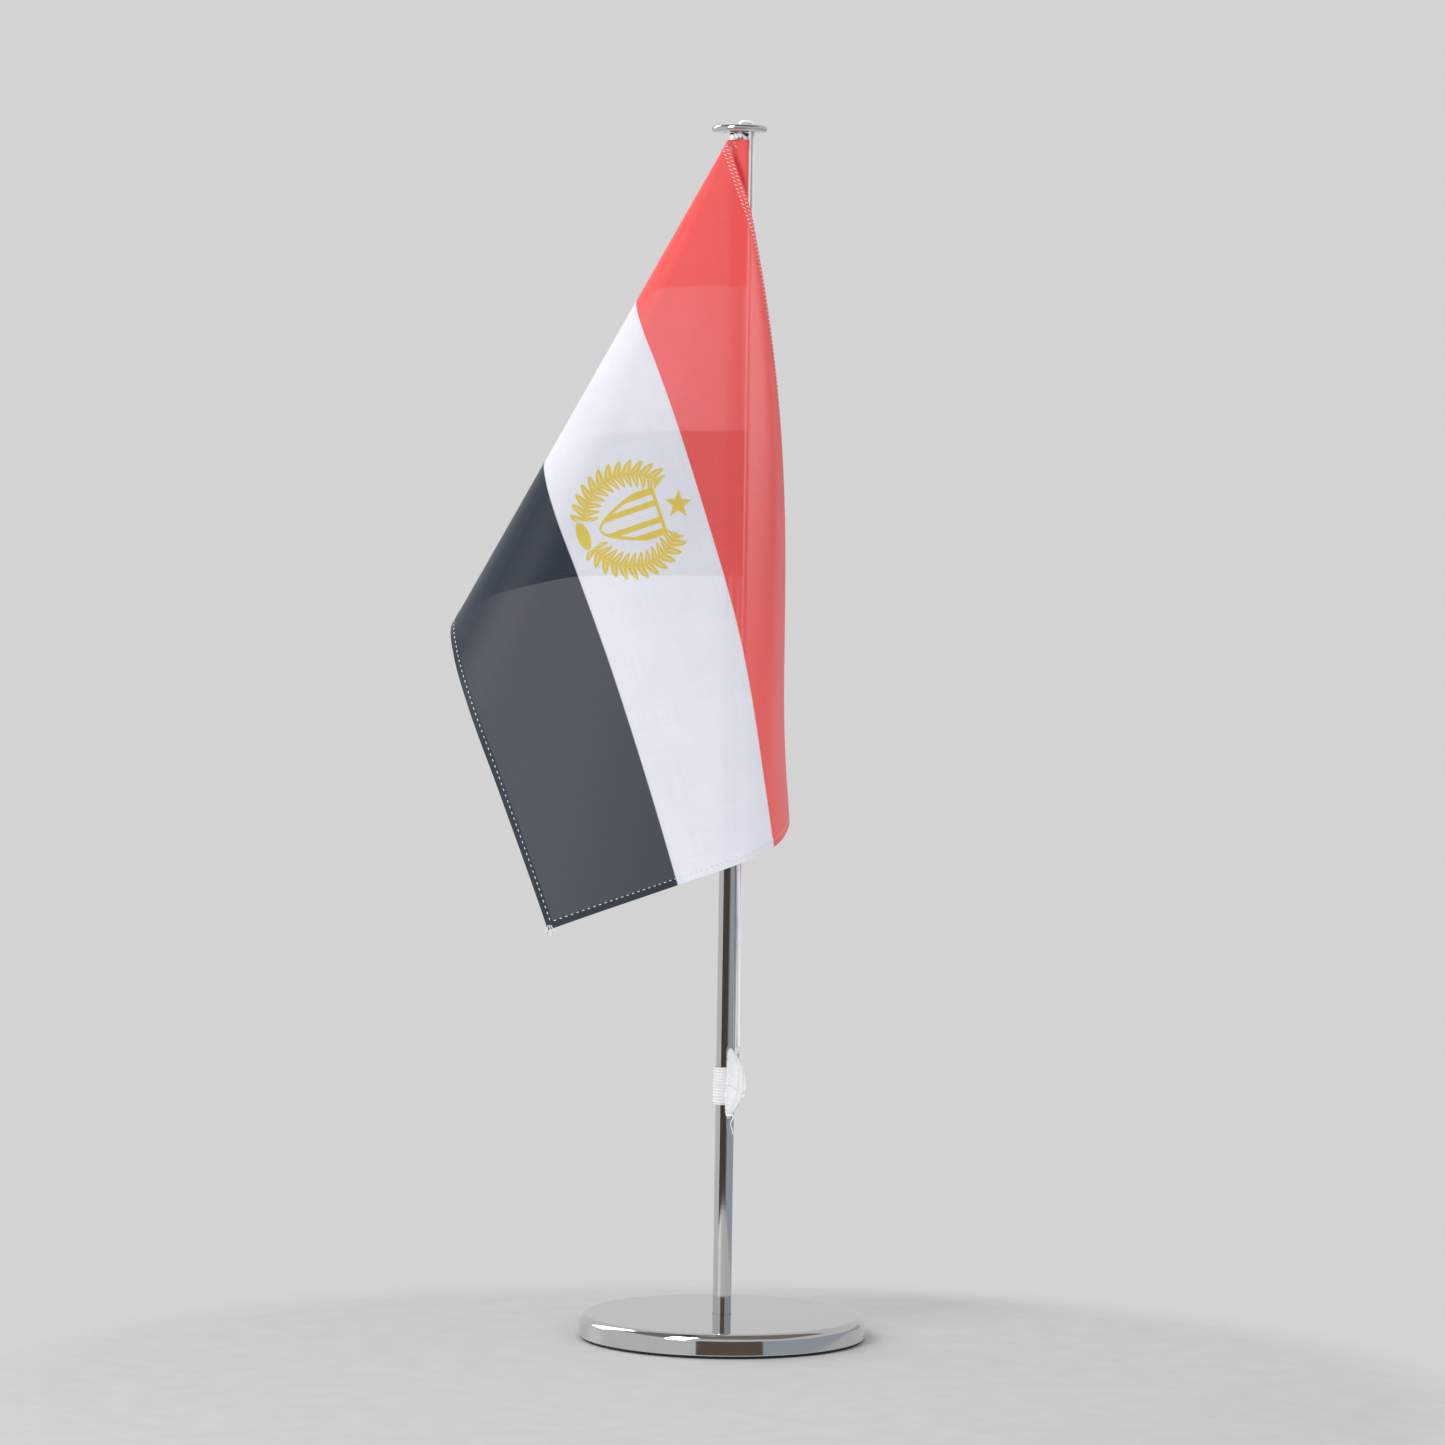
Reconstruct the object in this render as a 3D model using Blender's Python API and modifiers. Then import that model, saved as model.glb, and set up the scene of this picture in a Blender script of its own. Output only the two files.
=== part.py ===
"""Desk flag stand: weighted round base, slim chromed pole, line truck, halyard and a draped flag.

Metres, +Z up. The origin is the centre of the underside of the base, on the pole's axis.
"""

import math

import bmesh
import bpy
import numpy as np
from mathutils import Vector

OBJECT_NAME = "desk_flag_stand"

# Driving dimensions
TOTAL_HEIGHT = 0.420  # floor to the top face of the truck
BASE_RADIUS = 0.050
BASE_TOP = 0.0083
BASE_EDGE_RADIUS = 0.0024
PAD_RADIUS = 0.0488
PAD_THICKNESS = 0.0008
POLE_RADIUS = 0.00325
POLE_WALL = 0.0006
TRUCK_RADIUS = 0.0096
TRUCK_THICKNESS = 0.0024
TRUCK_EDGE_RADIUS = 0.0011
LINE_HOLE_RADIUS = 0.0010
LINE_HOLE_PITCH_RADIUS = 0.0047
LINE_HOLES = 4
CORD_DIAMETER = 0.0012
FLAG_HOIST = 0.150
FLAG_FLY = 0.243
FLAG_THICKNESS = 0.0005

# Fits
GAP = 0.0002  # left between faces that rest on each other
RUNNING_CLEARANCE = 0.00015

# Screws and washers
SCREW_RADIUS = 0.0015
SCREW_CLEARANCE = 0.0002
COUNTERBORE_RADIUS = 0.0040
COUNTERBORE_DEPTH = 0.0038
LOCK_WASHER_RADIUS = 0.0034
LOCK_WASHER_THICKNESS = 0.0007
PAN_HEAD_RADIUS = 0.0028
PAN_HEAD_HEIGHT = 0.0018
COUNTERSINK_RADIUS = 0.0028
PLUG_LENGTH = 0.0120
POLE_SOCKET_DEPTH = 0.0010
WASHER_THICKNESS = 0.0009

# Halyard, elastic and knots
HOIST_LINE = (0.0020, -0.0044)  # where the halyard's flag run stands, beside the pole
HOIST_TOP = 0.4150
ARCH_HEIGHT = 0.0010  # of the cord's centreline over the truck
TIE_HEIGHT = 0.1012
BAND_BOTTOM = 0.0814
BAND_WIDTH = 0.0132
BAND_THICKNESS = 0.0009
HEM_SLEEVE_RADIUS = 0.00125
HEM_LEAVES = 262.0  # degrees round the halyard, where the cloth leaves its hem roll
HEM_TURN = 245.0  # degrees of roll
THREAD_DIAMETER = 0.0004
TOP_KNOT = (-0.0022, -0.0052, 0.4161)
TOP_KNOT_RADII = (0.0019, 0.0008, 0.0008)
TOP_KNOT_LEAN = -20.0
LOWER_KNOT = (0.0047, -0.0008, 0.0983)
LOWER_KNOT_RADII = (0.0009, 0.0019, 0.0020)

# The drape is a cone of cloth hung from a point just above the flag's top hoist corner.
# A ray of the flat flag from that point stays straight, and it turns to the direction below.
APEX = Vector((0.0014, -0.0049, 0.4210))
APEX_ABOVE_CORNER = 0.006
FOLD_SHIFT = -0.0018  # the folded part starts this far to the side of the apex
POLE_CLEAR = 0.00435  # from the pole's axis to the cloth that lies against it
NEAR_RAY = 0.040
FAR_RAY = 0.230
# ray's angle in the flat flag, then sideways (left +) near and far, backwards near and far
RAYS = (
    (0.0, -3.5, -0.5, 0.7, 0.7),
    (8.0, 6.5, 7.3, 1.0, 2.3),
    (16.0, 14.5, 14.6, 2.0, 4.6),
    (22.0, 20.2, 20.0, 2.5, 4.8),
    (27.2, 24.2, 23.7, 0.8, 0.8),
    (35.4, 28.0, 28.0, -5.7, -5.7),
    (40.5, 28.2, 28.2, -10.6, -10.6),
    (46.2, 23.7, 23.6, -13.4, -13.4),
    (58.1, 11.5, 11.5, -14.0, -14.0),
    (66.3, 3.6, 3.8, -13.0, -11.5),
    (77.0, -7.3, -3.6, -11.0, -4.8),
    (90.0, -10.3, -5.1, -5.0, 8.4),
)

CHROME = ((0.62, 0.61, 0.60), 0.06, 1.0)
STEEL = ((0.45, 0.45, 0.46), 0.30, 1.0)
BRASS = ((0.70, 0.52, 0.25), 0.30, 1.0)
BLACK_FOAM = ((0.03, 0.03, 0.03), 0.90, 0.0)
BLACK_NYLON = ((0.02, 0.02, 0.02), 0.50, 0.0)
WHITE_CORD = ((0.85, 0.86, 0.88), 0.80, 0.0)
FLAG_CLOTH = ((0.60, 0.10, 0.08), 0.80, 0.0)


def clear_scene():
    for obj in list(bpy.data.objects):
        bpy.data.objects.remove(obj, do_unlink=True)


def new_collection(name):
    collection = bpy.data.collections.new(name)
    bpy.context.scene.collection.children.link(collection)
    return collection


def material(name, look):
    colour, roughness, metallic = look
    made = bpy.data.materials.new(name)
    made.use_nodes = True
    shader = made.node_tree.nodes["Principled BSDF"]
    shader.inputs["Base Color"].default_value = (*colour, 1.0)
    shader.inputs["Roughness"].default_value = roughness
    shader.inputs["Metallic"].default_value = metallic
    return made


def add_object(name, data, collection, look=None, parent=None):
    obj = bpy.data.objects.new(name, data)
    collection.objects.link(obj)
    obj.parent = parent
    if look:
        data.materials.append(material(name, look))
    return obj


def as_cutter(obj):
    obj.hide_render = True
    obj.display_type = "WIRE"
    return obj


def cut(obj, cutter):
    modifier = obj.modifiers.new("cut_" + cutter.name, "BOOLEAN")
    modifier.operation = "DIFFERENCE"
    modifier.object = cutter


def rounded_corner(radius, centre_x, centre_z, steps):
    """Points of a quarter round, from the top of the corner to its side."""
    points = []
    for step in range(steps + 1):
        angle = math.pi / 2 * (1 - step / steps)
        points.append((centre_x + radius * math.cos(angle), centre_z + radius * math.sin(angle)))
    return points


def turned(name, profile, collection, look, parent=None, steps=48):
    """A solid of revolution: the closed profile is (radius, height) pairs, clockwise seen from -Y."""
    mesh = bpy.data.meshes.new(name)
    edges = [(i, (i + 1) % len(profile)) for i in range(len(profile))]
    mesh.from_pydata([(x, 0.0, z) for x, z in profile], edges, [])
    obj = add_object(name, mesh, collection, look, parent)
    screw = obj.modifiers.new("turn", "SCREW")
    screw.steps = steps
    screw.render_steps = steps
    screw.use_merge_vertices = True
    screw.merge_threshold = 0.00001
    screw.use_smooth_shade = False
    return obj


def cylinder(name, radius, low, high, collection, place=(0.0, 0.0), segments=24):
    mesh = bpy.data.meshes.new(name)
    shape = bmesh.new()
    bmesh.ops.create_cone(
        shape,
        cap_ends=True,
        segments=segments,
        radius1=radius,
        radius2=radius,
        depth=high - low,
    )
    shape.to_mesh(mesh)
    shape.free()
    obj = add_object(name, mesh, collection)
    obj.location = (place[0], place[1], (low + high) / 2)
    return obj


def pole_top():
    return TOTAL_HEIGHT - TRUCK_THICKNESS - WASHER_THICKNESS - 2 * GAP


def pole_bottom():
    return BASE_TOP - POLE_SOCKET_DEPTH + GAP


def base_disc(parts):
    """A heavy turned disc: rounded top edge, a socket for the pole and a counterbore for the screw."""
    low = PAD_THICKNESS + GAP
    lead = 0.0004
    socket_radius = POLE_RADIUS + RUNNING_CLEARANCE
    bore_radius = SCREW_RADIUS + SCREW_CLEARANCE
    profile = [
        (socket_radius, BASE_TOP),
        *rounded_corner(
            BASE_EDGE_RADIUS, BASE_RADIUS - BASE_EDGE_RADIUS, BASE_TOP - BASE_EDGE_RADIUS, 5
        ),
        (BASE_RADIUS, low + lead),
        (BASE_RADIUS - lead, low),
        (COUNTERBORE_RADIUS, low),
        (COUNTERBORE_RADIUS, low + COUNTERBORE_DEPTH),
        (bore_radius, low + COUNTERBORE_DEPTH),
        (bore_radius, BASE_TOP - POLE_SOCKET_DEPTH),
        (socket_radius, BASE_TOP - POLE_SOCKET_DEPTH),
    ]
    return turned("base_disc", profile, parts, CHROME, steps=72)


def base_pad(parts):
    """The foam pad glued under the base, which also covers the screw."""
    obj = cylinder("base_pad", PAD_RADIUS, 0.0, PAD_THICKNESS, parts, segments=64)
    obj.data.materials.append(material("base_pad", BLACK_FOAM))
    return obj


def base_fastening(parts):
    """The pan-head screw and its lock washer, up through the base into the pole's foot."""
    ceiling = PAD_THICKNESS + GAP + COUNTERBORE_DEPTH
    washer_top = ceiling - GAP
    washer_bottom = washer_top - LOCK_WASHER_THICKNESS
    washer_hole = SCREW_RADIUS + SCREW_CLEARANCE
    washer = [
        (washer_hole, washer_top),
        (LOCK_WASHER_RADIUS, washer_top),
        (LOCK_WASHER_RADIUS, washer_bottom),
        (washer_hole, washer_bottom),
    ]
    turned("base_lock_washer", washer, parts, STEEL, steps=24)
    head_top = washer_bottom - GAP
    crown = 0.0005
    screw = [
        (0.0, pole_bottom() + PLUG_LENGTH - 0.001),
        (SCREW_RADIUS, pole_bottom() + PLUG_LENGTH - 0.001),
        (SCREW_RADIUS, head_top),
        (PAN_HEAD_RADIUS, head_top),
        (PAN_HEAD_RADIUS, head_top - PAN_HEAD_HEIGHT + crown),
        (PAN_HEAD_RADIUS - crown, head_top - PAN_HEAD_HEIGHT),
        (0.0, head_top - PAN_HEAD_HEIGHT),
    ]
    turned("base_screw", screw, parts, STEEL, steps=24)


def pole(parts):
    """The chromed tube, from the socket in the base to just under the truck."""
    inner = POLE_RADIUS - POLE_WALL
    lead = 0.0003
    profile = [
        (inner, pole_top()),
        (POLE_RADIUS - lead, pole_top()),
        (POLE_RADIUS, pole_top() - lead),
        (POLE_RADIUS, pole_bottom()),
        (inner, pole_bottom()),
    ]
    turned("pole_tube", profile, parts, CHROME, steps=32)


def pole_plug(name, low, high, parts):
    """A threaded brass insert pressed into one end of the tube."""
    outer = POLE_RADIUS - POLE_WALL - GAP
    bore = SCREW_RADIUS + SCREW_CLEARANCE
    profile = [(bore, high), (outer, high), (outer, low), (bore, low)]
    turned(name, profile, parts, BRASS, steps=24)


def truck_washer(parts):
    """The black washer that the truck turns on."""
    low = pole_top() + GAP
    high = low + WASHER_THICKNESS
    hole = SCREW_RADIUS + SCREW_CLEARANCE
    profile = [(hole, high), (POLE_RADIUS, high), (POLE_RADIUS, low), (hole, low)]
    turned("truck_washer", profile, parts, BLACK_NYLON, steps=32)


def truck_screw(parts):
    """The countersunk screw that holds the truck down and that the truck turns on."""
    top = TOTAL_HEIGHT - GAP
    sink = COUNTERSINK_RADIUS - SCREW_RADIUS
    profile = [
        (0.0, top),
        (COUNTERSINK_RADIUS - GAP, top),
        (SCREW_RADIUS, top - sink + GAP),
        (SCREW_RADIUS, pole_top() - PLUG_LENGTH / 2),
        (0.0, pole_top() - PLUG_LENGTH / 2),
    ]
    turned("truck_screw", profile, parts, STEEL, steps=24)


def truck_disc(parts, cutters, pivot):
    """The flat round truck: a countersunk centre hole and four holes that the halyard can pass."""
    low = TOTAL_HEIGHT - TRUCK_THICKNESS
    side = TRUCK_RADIUS - TRUCK_EDGE_RADIUS
    bore = SCREW_RADIUS + RUNNING_CLEARANCE
    sink_radius = COUNTERSINK_RADIUS + RUNNING_CLEARANCE
    lower_edge = [
        (x, 2 * low + TRUCK_THICKNESS - z)
        for x, z in reversed(rounded_corner(TRUCK_EDGE_RADIUS, side, TOTAL_HEIGHT - TRUCK_EDGE_RADIUS, 4))
    ]
    profile = [
        (sink_radius, TOTAL_HEIGHT),
        *rounded_corner(TRUCK_EDGE_RADIUS, side, TOTAL_HEIGHT - TRUCK_EDGE_RADIUS, 4),
        *lower_edge,
        (bore, low),
        (bore, TOTAL_HEIGHT - (sink_radius - bore)),
    ]
    obj = turned("truck_disc", profile, parts, CHROME, pivot, steps=48)
    reach = 0.001
    for number in range(LINE_HOLES):
        angle = 2 * math.pi * number / LINE_HOLES
        place = (LINE_HOLE_PITCH_RADIUS * math.cos(angle), LINE_HOLE_PITCH_RADIUS * math.sin(angle))
        cutter = cylinder(
            f"line_hole_{number + 1}",
            LINE_HOLE_RADIUS,
            low - reach,
            TOTAL_HEIGHT + reach,
            cutters,
            place,
            segments=16,
        )
        cut(obj, as_cutter(cutter))


def smooth_route(points, spacing):
    """Points along a smooth curve through the given ones, about a spacing apart."""
    route = [Vector(points[0])]
    for i in range(len(points) - 1):
        before = Vector(points[max(i - 1, 0)])
        start = Vector(points[i])
        end = Vector(points[i + 1])
        after = Vector(points[min(i + 2, len(points) - 1)])
        steps = max(1, round((end - start).length / spacing))
        for step in range(1, steps + 1):
            t = step / steps
            route.append(
                0.5
                * (
                    2 * start
                    + (end - before) * t
                    + (2 * before - 5 * start + 4 * end - after) * t * t
                    + (3 * start - before - 3 * end + after) * t**3
                )
            )
    return route


def halyard_route():
    """The taut loop: tie, flag hem, up through the front hole, over the truck, down the right side."""
    hole = LINE_HOLE_PITCH_RADIUS
    over = TOTAL_HEIGHT + ARCH_HEIGHT
    x, y = HOIST_LINE
    flag_foot = HOIST_TOP - FLAG_HOIST
    bend = [
        (x, y, HOIST_TOP - 0.004),
        (x, y, HOIST_TOP + 0.0002),
        (0.0010, -0.0046, HOIST_TOP + 0.0014),
        (0.0001, -hole, HOIST_TOP + 0.0026),
        (0.0000, -hole, TOTAL_HEIGHT - 0.0004),
        (0.0006, -0.0040, over - 0.0001),
        (0.0023, -0.0023, over + 0.0002),
        (0.0041, -0.0006, over - 0.0001),
        (hole, 0.0000, TOTAL_HEIGHT - 0.0004),
        (hole, 0.0000, HOIST_TOP + 0.0010),
        (hole, 0.0000, HOIST_TOP - 0.0040),
    ]
    tie_front = Vector((0.0045, -0.0008, TIE_HEIGHT))
    tie_back = Vector((0.0043, 0.0008, TIE_HEIGHT))
    flag_run = [tie_front, tie_front.lerp(Vector((x, y, flag_foot - 0.02)), 0.5)]
    flag_run += [Vector((x, y, flag_foot - 0.02)), Vector((x, y, flag_foot))]
    return flag_run + smooth_route(bend, 0.0008) + [tie_back]


def cord(name, points, diameter, parts, pivot):
    data = bpy.data.curves.new(name, "CURVE")
    data.dimensions = "3D"
    data.bevel_depth = diameter / 2
    data.bevel_resolution = 2
    data.use_fill_caps = True
    spline = data.splines.new("POLY")
    spline.points.add(len(points) - 1)
    for point, place in zip(spline.points, points):
        point.co = (*place, 1.0)
    return add_object(name, data, parts, WHITE_CORD, pivot)


def lump(name, centre, radii, lean_degrees, parts, pivot):
    """A knot's outer shape: a sphere stretched to its three radii and leaned about Y."""
    mesh = bpy.data.meshes.new(name)
    shape = bmesh.new()
    bmesh.ops.create_uvsphere(shape, u_segments=16, v_segments=10, radius=1.0)
    for vertex in shape.verts:
        vertex.co = Vector((vertex.co.x * radii[0], vertex.co.y * radii[1], vertex.co.z * radii[2]))
    shape.to_mesh(mesh)
    shape.free()
    obj = add_object(name, mesh, parts, WHITE_CORD, pivot)
    obj.location = centre
    obj.rotation_euler = (0.0, math.radians(lean_degrees), 0.0)
    return obj


def elastic_band(parts, pivot):
    """The loop of elastic that grips the pole and keeps the halyard taut."""
    inner = POLE_RADIUS + RUNNING_CLEARANCE
    outer = inner + BAND_THICKNESS
    top = BAND_BOTTOM + BAND_WIDTH
    profile = [(inner, top), (outer, top), (outer, BAND_BOTTOM), (inner, BAND_BOTTOM)]
    turned("elastic_band", profile, parts, WHITE_CORD, pivot, steps=32)


def elastic_gather(parts, pivot):
    """The elastic's two ends, sewn together and gathered into a pleated spindle beside the band."""
    sections = (
        # height, centre x, centre y, half width, half depth
        (0.0770, 0.0012, -0.0056, 0.0003, 0.0003),
        (0.0795, 0.0020, -0.0058, 0.0015, 0.0008),
        (0.0830, 0.0031, -0.0058, 0.0028, 0.0012),
        (0.0868, 0.0036, -0.0057, 0.0034, 0.0013),
        (0.0915, 0.0036, -0.0056, 0.0031, 0.0012),
        (0.0960, 0.0032, -0.0056, 0.0026, 0.0011),
        (0.0995, 0.0023, -0.0056, 0.0015, 0.0008),
        (0.1015, 0.0017, -0.0056, 0.0004, 0.0004),
    )
    around = 14
    mesh = bpy.data.meshes.new("elastic_gather")
    shape = bmesh.new()
    rings = []
    for z, x, y, width, depth in sections:
        ring = []
        for step in range(around):
            angle = 2 * math.pi * step / around
            ring.append(shape.verts.new((x + width * math.cos(angle), y + depth * math.sin(angle), z)))
        rings.append(ring)
    for low, high in zip(rings, rings[1:]):
        for step in range(around):
            after = (step + 1) % around
            shape.faces.new((low[step], low[after], high[after], high[step]))
    shape.faces.new(list(reversed(rings[0])))
    shape.faces.new(rings[-1])
    shape.to_mesh(mesh)
    shape.free()
    return add_object("elastic_gather", mesh, parts, WHITE_CORD, pivot)


def binding_thread(parts, pivot):
    """The sewing thread bound round the gather's lower end, with its cut tail hanging down."""
    middle = Vector((0.0017, -0.0057, 0.0783))
    width, depth = 0.0016, 0.0013
    around = 14
    route = []
    for step in range(around):
        angle = 2 * math.pi * step / around + math.radians(20)
        route.append(middle + Vector((width * math.cos(angle), depth * math.sin(angle), 0.0)))
    tail = [
        route[-1],
        middle + Vector((0.0015, -0.0013, -0.0009)),
        middle + Vector((0.0004, -0.0011, -0.0028)),
        middle + Vector((0.0010, -0.0002, -0.0052)),
        middle + Vector((0.0013, 0.0002, -0.0067)),
    ]
    cord("binding_thread", route + smooth_route(tail, 0.0008)[1:], THREAD_DIAMETER, parts, pivot)


def eased(value):
    value = np.clip(value, 0.0, 1.0)
    return value * value * (3 - 2 * value)


def through_rays(column, angle):
    """A smooth curve through one column of RAYS, read at an angle of the flat flag."""
    knots = np.array([ray[0] for ray in RAYS])
    values = np.array([ray[column] for ray in RAYS])
    slopes = np.gradient(values, knots)
    i = int(np.clip(np.searchsorted(knots, angle) - 1, 0, len(knots) - 2))
    width = knots[i + 1] - knots[i]
    t = (angle - knots[i]) / width
    start = (2 * t**3 - 3 * t**2 + 1) * values[i] + (t**3 - 2 * t**2 + t) * width * slopes[i]
    end = (-2 * t**3 + 3 * t**2) * values[i + 1] + (t**3 - t**2) * width * slopes[i + 1]
    return start + end


def drape(along, down):
    """Where the flag's point, so far along the fly and down the hoist, hangs."""
    from_apex = down + APEX_ABOVE_CORNER
    ray = math.hypot(along, from_apex)
    angle = math.degrees(math.atan2(along, from_apex))
    far = eased((ray - NEAR_RAY) / (FAR_RAY - NEAR_RAY))
    side = through_rays(1, angle) * (1 - far) + through_rays(2, angle) * far
    back = through_rays(3, angle) * (1 - far) + through_rays(4, angle) * far
    side, back = math.radians(side), math.radians(back)
    shift = FOLD_SHIFT * eased((angle - 12) / 26)
    place = APEX + Vector((shift, 0.0, 0.0))
    place += ray * Vector((-math.sin(side) * math.cos(back), math.sin(back), -math.cos(side) * math.cos(back)))
    return in_front_of(place, (0.0, 0.0), POLE_CLEAR)


def in_front_of(place, centre, clear):
    """Cloth that would lie inside that upright round shape lies round the front of it instead."""
    x = place.x - centre[0]
    if math.hypot(x, place.y - centre[1]) < clear:
        place.y = centre[1] - math.sqrt(clear**2 - x**2)
    return place


def hem_roll(step, steps, down):
    """The hoist hem: the cloth's edge is rolled behind the halyard, which runs inside it."""
    angle = math.radians(HEM_LEAVES + HEM_TURN * (1 - step / steps))
    x = HOIST_LINE[0] + HEM_SLEEVE_RADIUS * math.cos(angle)
    y = HOIST_LINE[1] + HEM_SLEEVE_RADIUS * math.sin(angle)
    return Vector((x, y, HOIST_TOP - down))


def flag_cloth(parts, pivot):
    """The whole flag, hem sleeve and all, as one bent sheet given its thickness."""
    roll_steps = 7
    columns = [0.0015, 0.004, 0.008, 0.013, 0.020]
    columns += list(np.linspace(0.029, FLAG_FLY, 26))
    rows = [0.0, 0.004, 0.010, 0.018, 0.028] + list(np.linspace(0.040, FLAG_HOIST, 9))
    bpy.ops.mesh.primitive_grid_add(x_subdivisions=roll_steps + len(columns), y_subdivisions=len(rows) - 1)
    obj = bpy.context.object
    obj.name = "flag_cloth"
    obj.data.name = "flag_cloth"
    across = roll_steps + len(columns) + 1
    for index, vertex in enumerate(obj.data.vertices):
        column, row = index % across, index // across
        down = rows[row]
        edge = hem_roll(roll_steps, roll_steps, down)
        if column <= roll_steps:
            vertex.co = hem_roll(column, roll_steps, down)
            continue
        along = columns[column - roll_steps - 1]
        blend = 0.003 + 0.007 * float(eased(down / 0.03))  # shorter at the top corner
        free = float(eased(along / blend))
        place = edge.lerp(drape(along, down), free)
        vertex.co = in_front_of(place, HOIST_LINE, HEM_SLEEVE_RADIUS)
    for collection in list(obj.users_collection):
        collection.objects.unlink(obj)
    parts.objects.link(obj)
    obj.parent = pivot
    obj.data.materials.append(material("flag_cloth", FLAG_CLOTH))
    thickness = obj.modifiers.new("thickness", "SOLIDIFY")
    thickness.thickness = FLAG_THICKNESS
    thickness.offset = 0.0
    obj.data.shade_smooth()
    return obj


def pivot_empty(name, place, collection):
    empty = add_object(name, None, collection)
    empty.empty_display_size = 0.02
    empty.location = place
    return empty


def keep_place(obj, pivot):
    obj.matrix_parent_inverse = pivot.matrix_basis.inverted()


def main():
    clear_scene()
    parts = new_collection(OBJECT_NAME)
    cutters = new_collection("cutters")
    truck_pivot = pivot_empty("truck_pivot", (0.0, 0.0, 0.0), parts)
    flag_pivot = pivot_empty("flag_pivot", (*HOIST_LINE, HOIST_TOP), parts)
    base_disc(parts)
    base_pad(parts)
    base_fastening(parts)
    pole(parts)
    pole_plug("pole_foot_plug", pole_bottom(), pole_bottom() + PLUG_LENGTH, parts)
    pole_plug("pole_head_plug", pole_top() - PLUG_LENGTH, pole_top(), parts)
    truck_washer(parts)
    truck_screw(parts)
    truck_disc(parts, cutters, truck_pivot)
    cord("halyard", halyard_route(), CORD_DIAMETER, parts, truck_pivot)
    lump("top_knot", TOP_KNOT, TOP_KNOT_RADII, TOP_KNOT_LEAN, parts, truck_pivot)
    lump("lower_knot", LOWER_KNOT, LOWER_KNOT_RADII, 0.0, parts, truck_pivot)
    elastic_band(parts, truck_pivot)
    elastic_gather(parts, truck_pivot)
    binding_thread(parts, truck_pivot)
    keep_place(flag_cloth(parts, flag_pivot), flag_pivot)


main()
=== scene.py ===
import math

import bmesh
import bpy
import numpy as np
from mathutils import Matrix, Vector


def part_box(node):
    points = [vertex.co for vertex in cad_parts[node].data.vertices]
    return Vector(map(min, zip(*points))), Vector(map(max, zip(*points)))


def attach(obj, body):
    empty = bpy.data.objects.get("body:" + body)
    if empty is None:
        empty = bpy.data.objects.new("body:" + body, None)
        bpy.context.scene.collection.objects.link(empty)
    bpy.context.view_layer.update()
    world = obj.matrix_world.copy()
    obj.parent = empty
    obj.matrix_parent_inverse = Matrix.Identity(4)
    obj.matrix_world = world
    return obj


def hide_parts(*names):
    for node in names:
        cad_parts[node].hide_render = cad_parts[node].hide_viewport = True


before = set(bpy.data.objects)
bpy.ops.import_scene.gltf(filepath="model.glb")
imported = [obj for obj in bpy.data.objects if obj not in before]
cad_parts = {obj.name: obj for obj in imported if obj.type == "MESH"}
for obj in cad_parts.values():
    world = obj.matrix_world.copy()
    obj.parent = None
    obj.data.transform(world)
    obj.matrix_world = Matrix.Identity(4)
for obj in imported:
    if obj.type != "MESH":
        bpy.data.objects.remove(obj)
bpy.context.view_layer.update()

# The camera stands two metres in front of the stand, a little below the flag's middle, and
# looks slightly down. It is turned a touch about its own axis.
camera_data = bpy.data.cameras.new("camera")
camera_data.sensor_width = 36.0
camera_data.lens = 144.1
camera = bpy.data.objects.new("camera", camera_data)
bpy.context.collection.objects.link(camera)
camera_place = Matrix.Translation((-0.0028, -2.0, 0.307))
camera_tilt = Matrix.Rotation(math.radians(90 - 2.66), 4, "X")
camera_roll = Matrix.Rotation(math.radians(0.86), 4, "Z")
camera.matrix_world = camera_place @ camera_tilt @ camera_roll
bpy.context.scene.camera = camera
bpy.context.scene.view_settings.view_transform = "Standard"

# The studio: a round pale table top that fades into a plain grey room, two soft lights on the
# left, and panels that only polished metal sees, dark in front and grey on the right.
ROOM_GREY = 0.655
TABLE_RADIUS = 0.27
TABLE_FORWARD = 0.12
PANEL_DISTANCE = 2.6
CEILING_HEIGHT, CEILING_FRONT, CEILING_BACK = 2.3, -2.4, 0.9


def place_light(name, azimuth, elevation, distance, size, power, colour):
    """Azimuth 0 is the camera's side and negative is to its left."""
    data = bpy.data.lights.new(name, "AREA")
    data.shape = "RECTANGLE"
    data.size, data.size_y = size
    data.energy = power
    data.color = colour
    light = bpy.data.objects.new(name, data)
    bpy.context.collection.objects.link(light)
    turn, lift = math.radians(azimuth), math.radians(elevation)
    away = Vector((math.sin(turn) * math.cos(lift), -math.cos(turn) * math.cos(lift), math.sin(lift)))
    light.location = Vector((0.0, 0.0, 0.2)) + away * distance
    light.rotation_euler = away.to_track_quat("Z", "Y").to_euler()
    light.visible_camera = False
    return light


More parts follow.
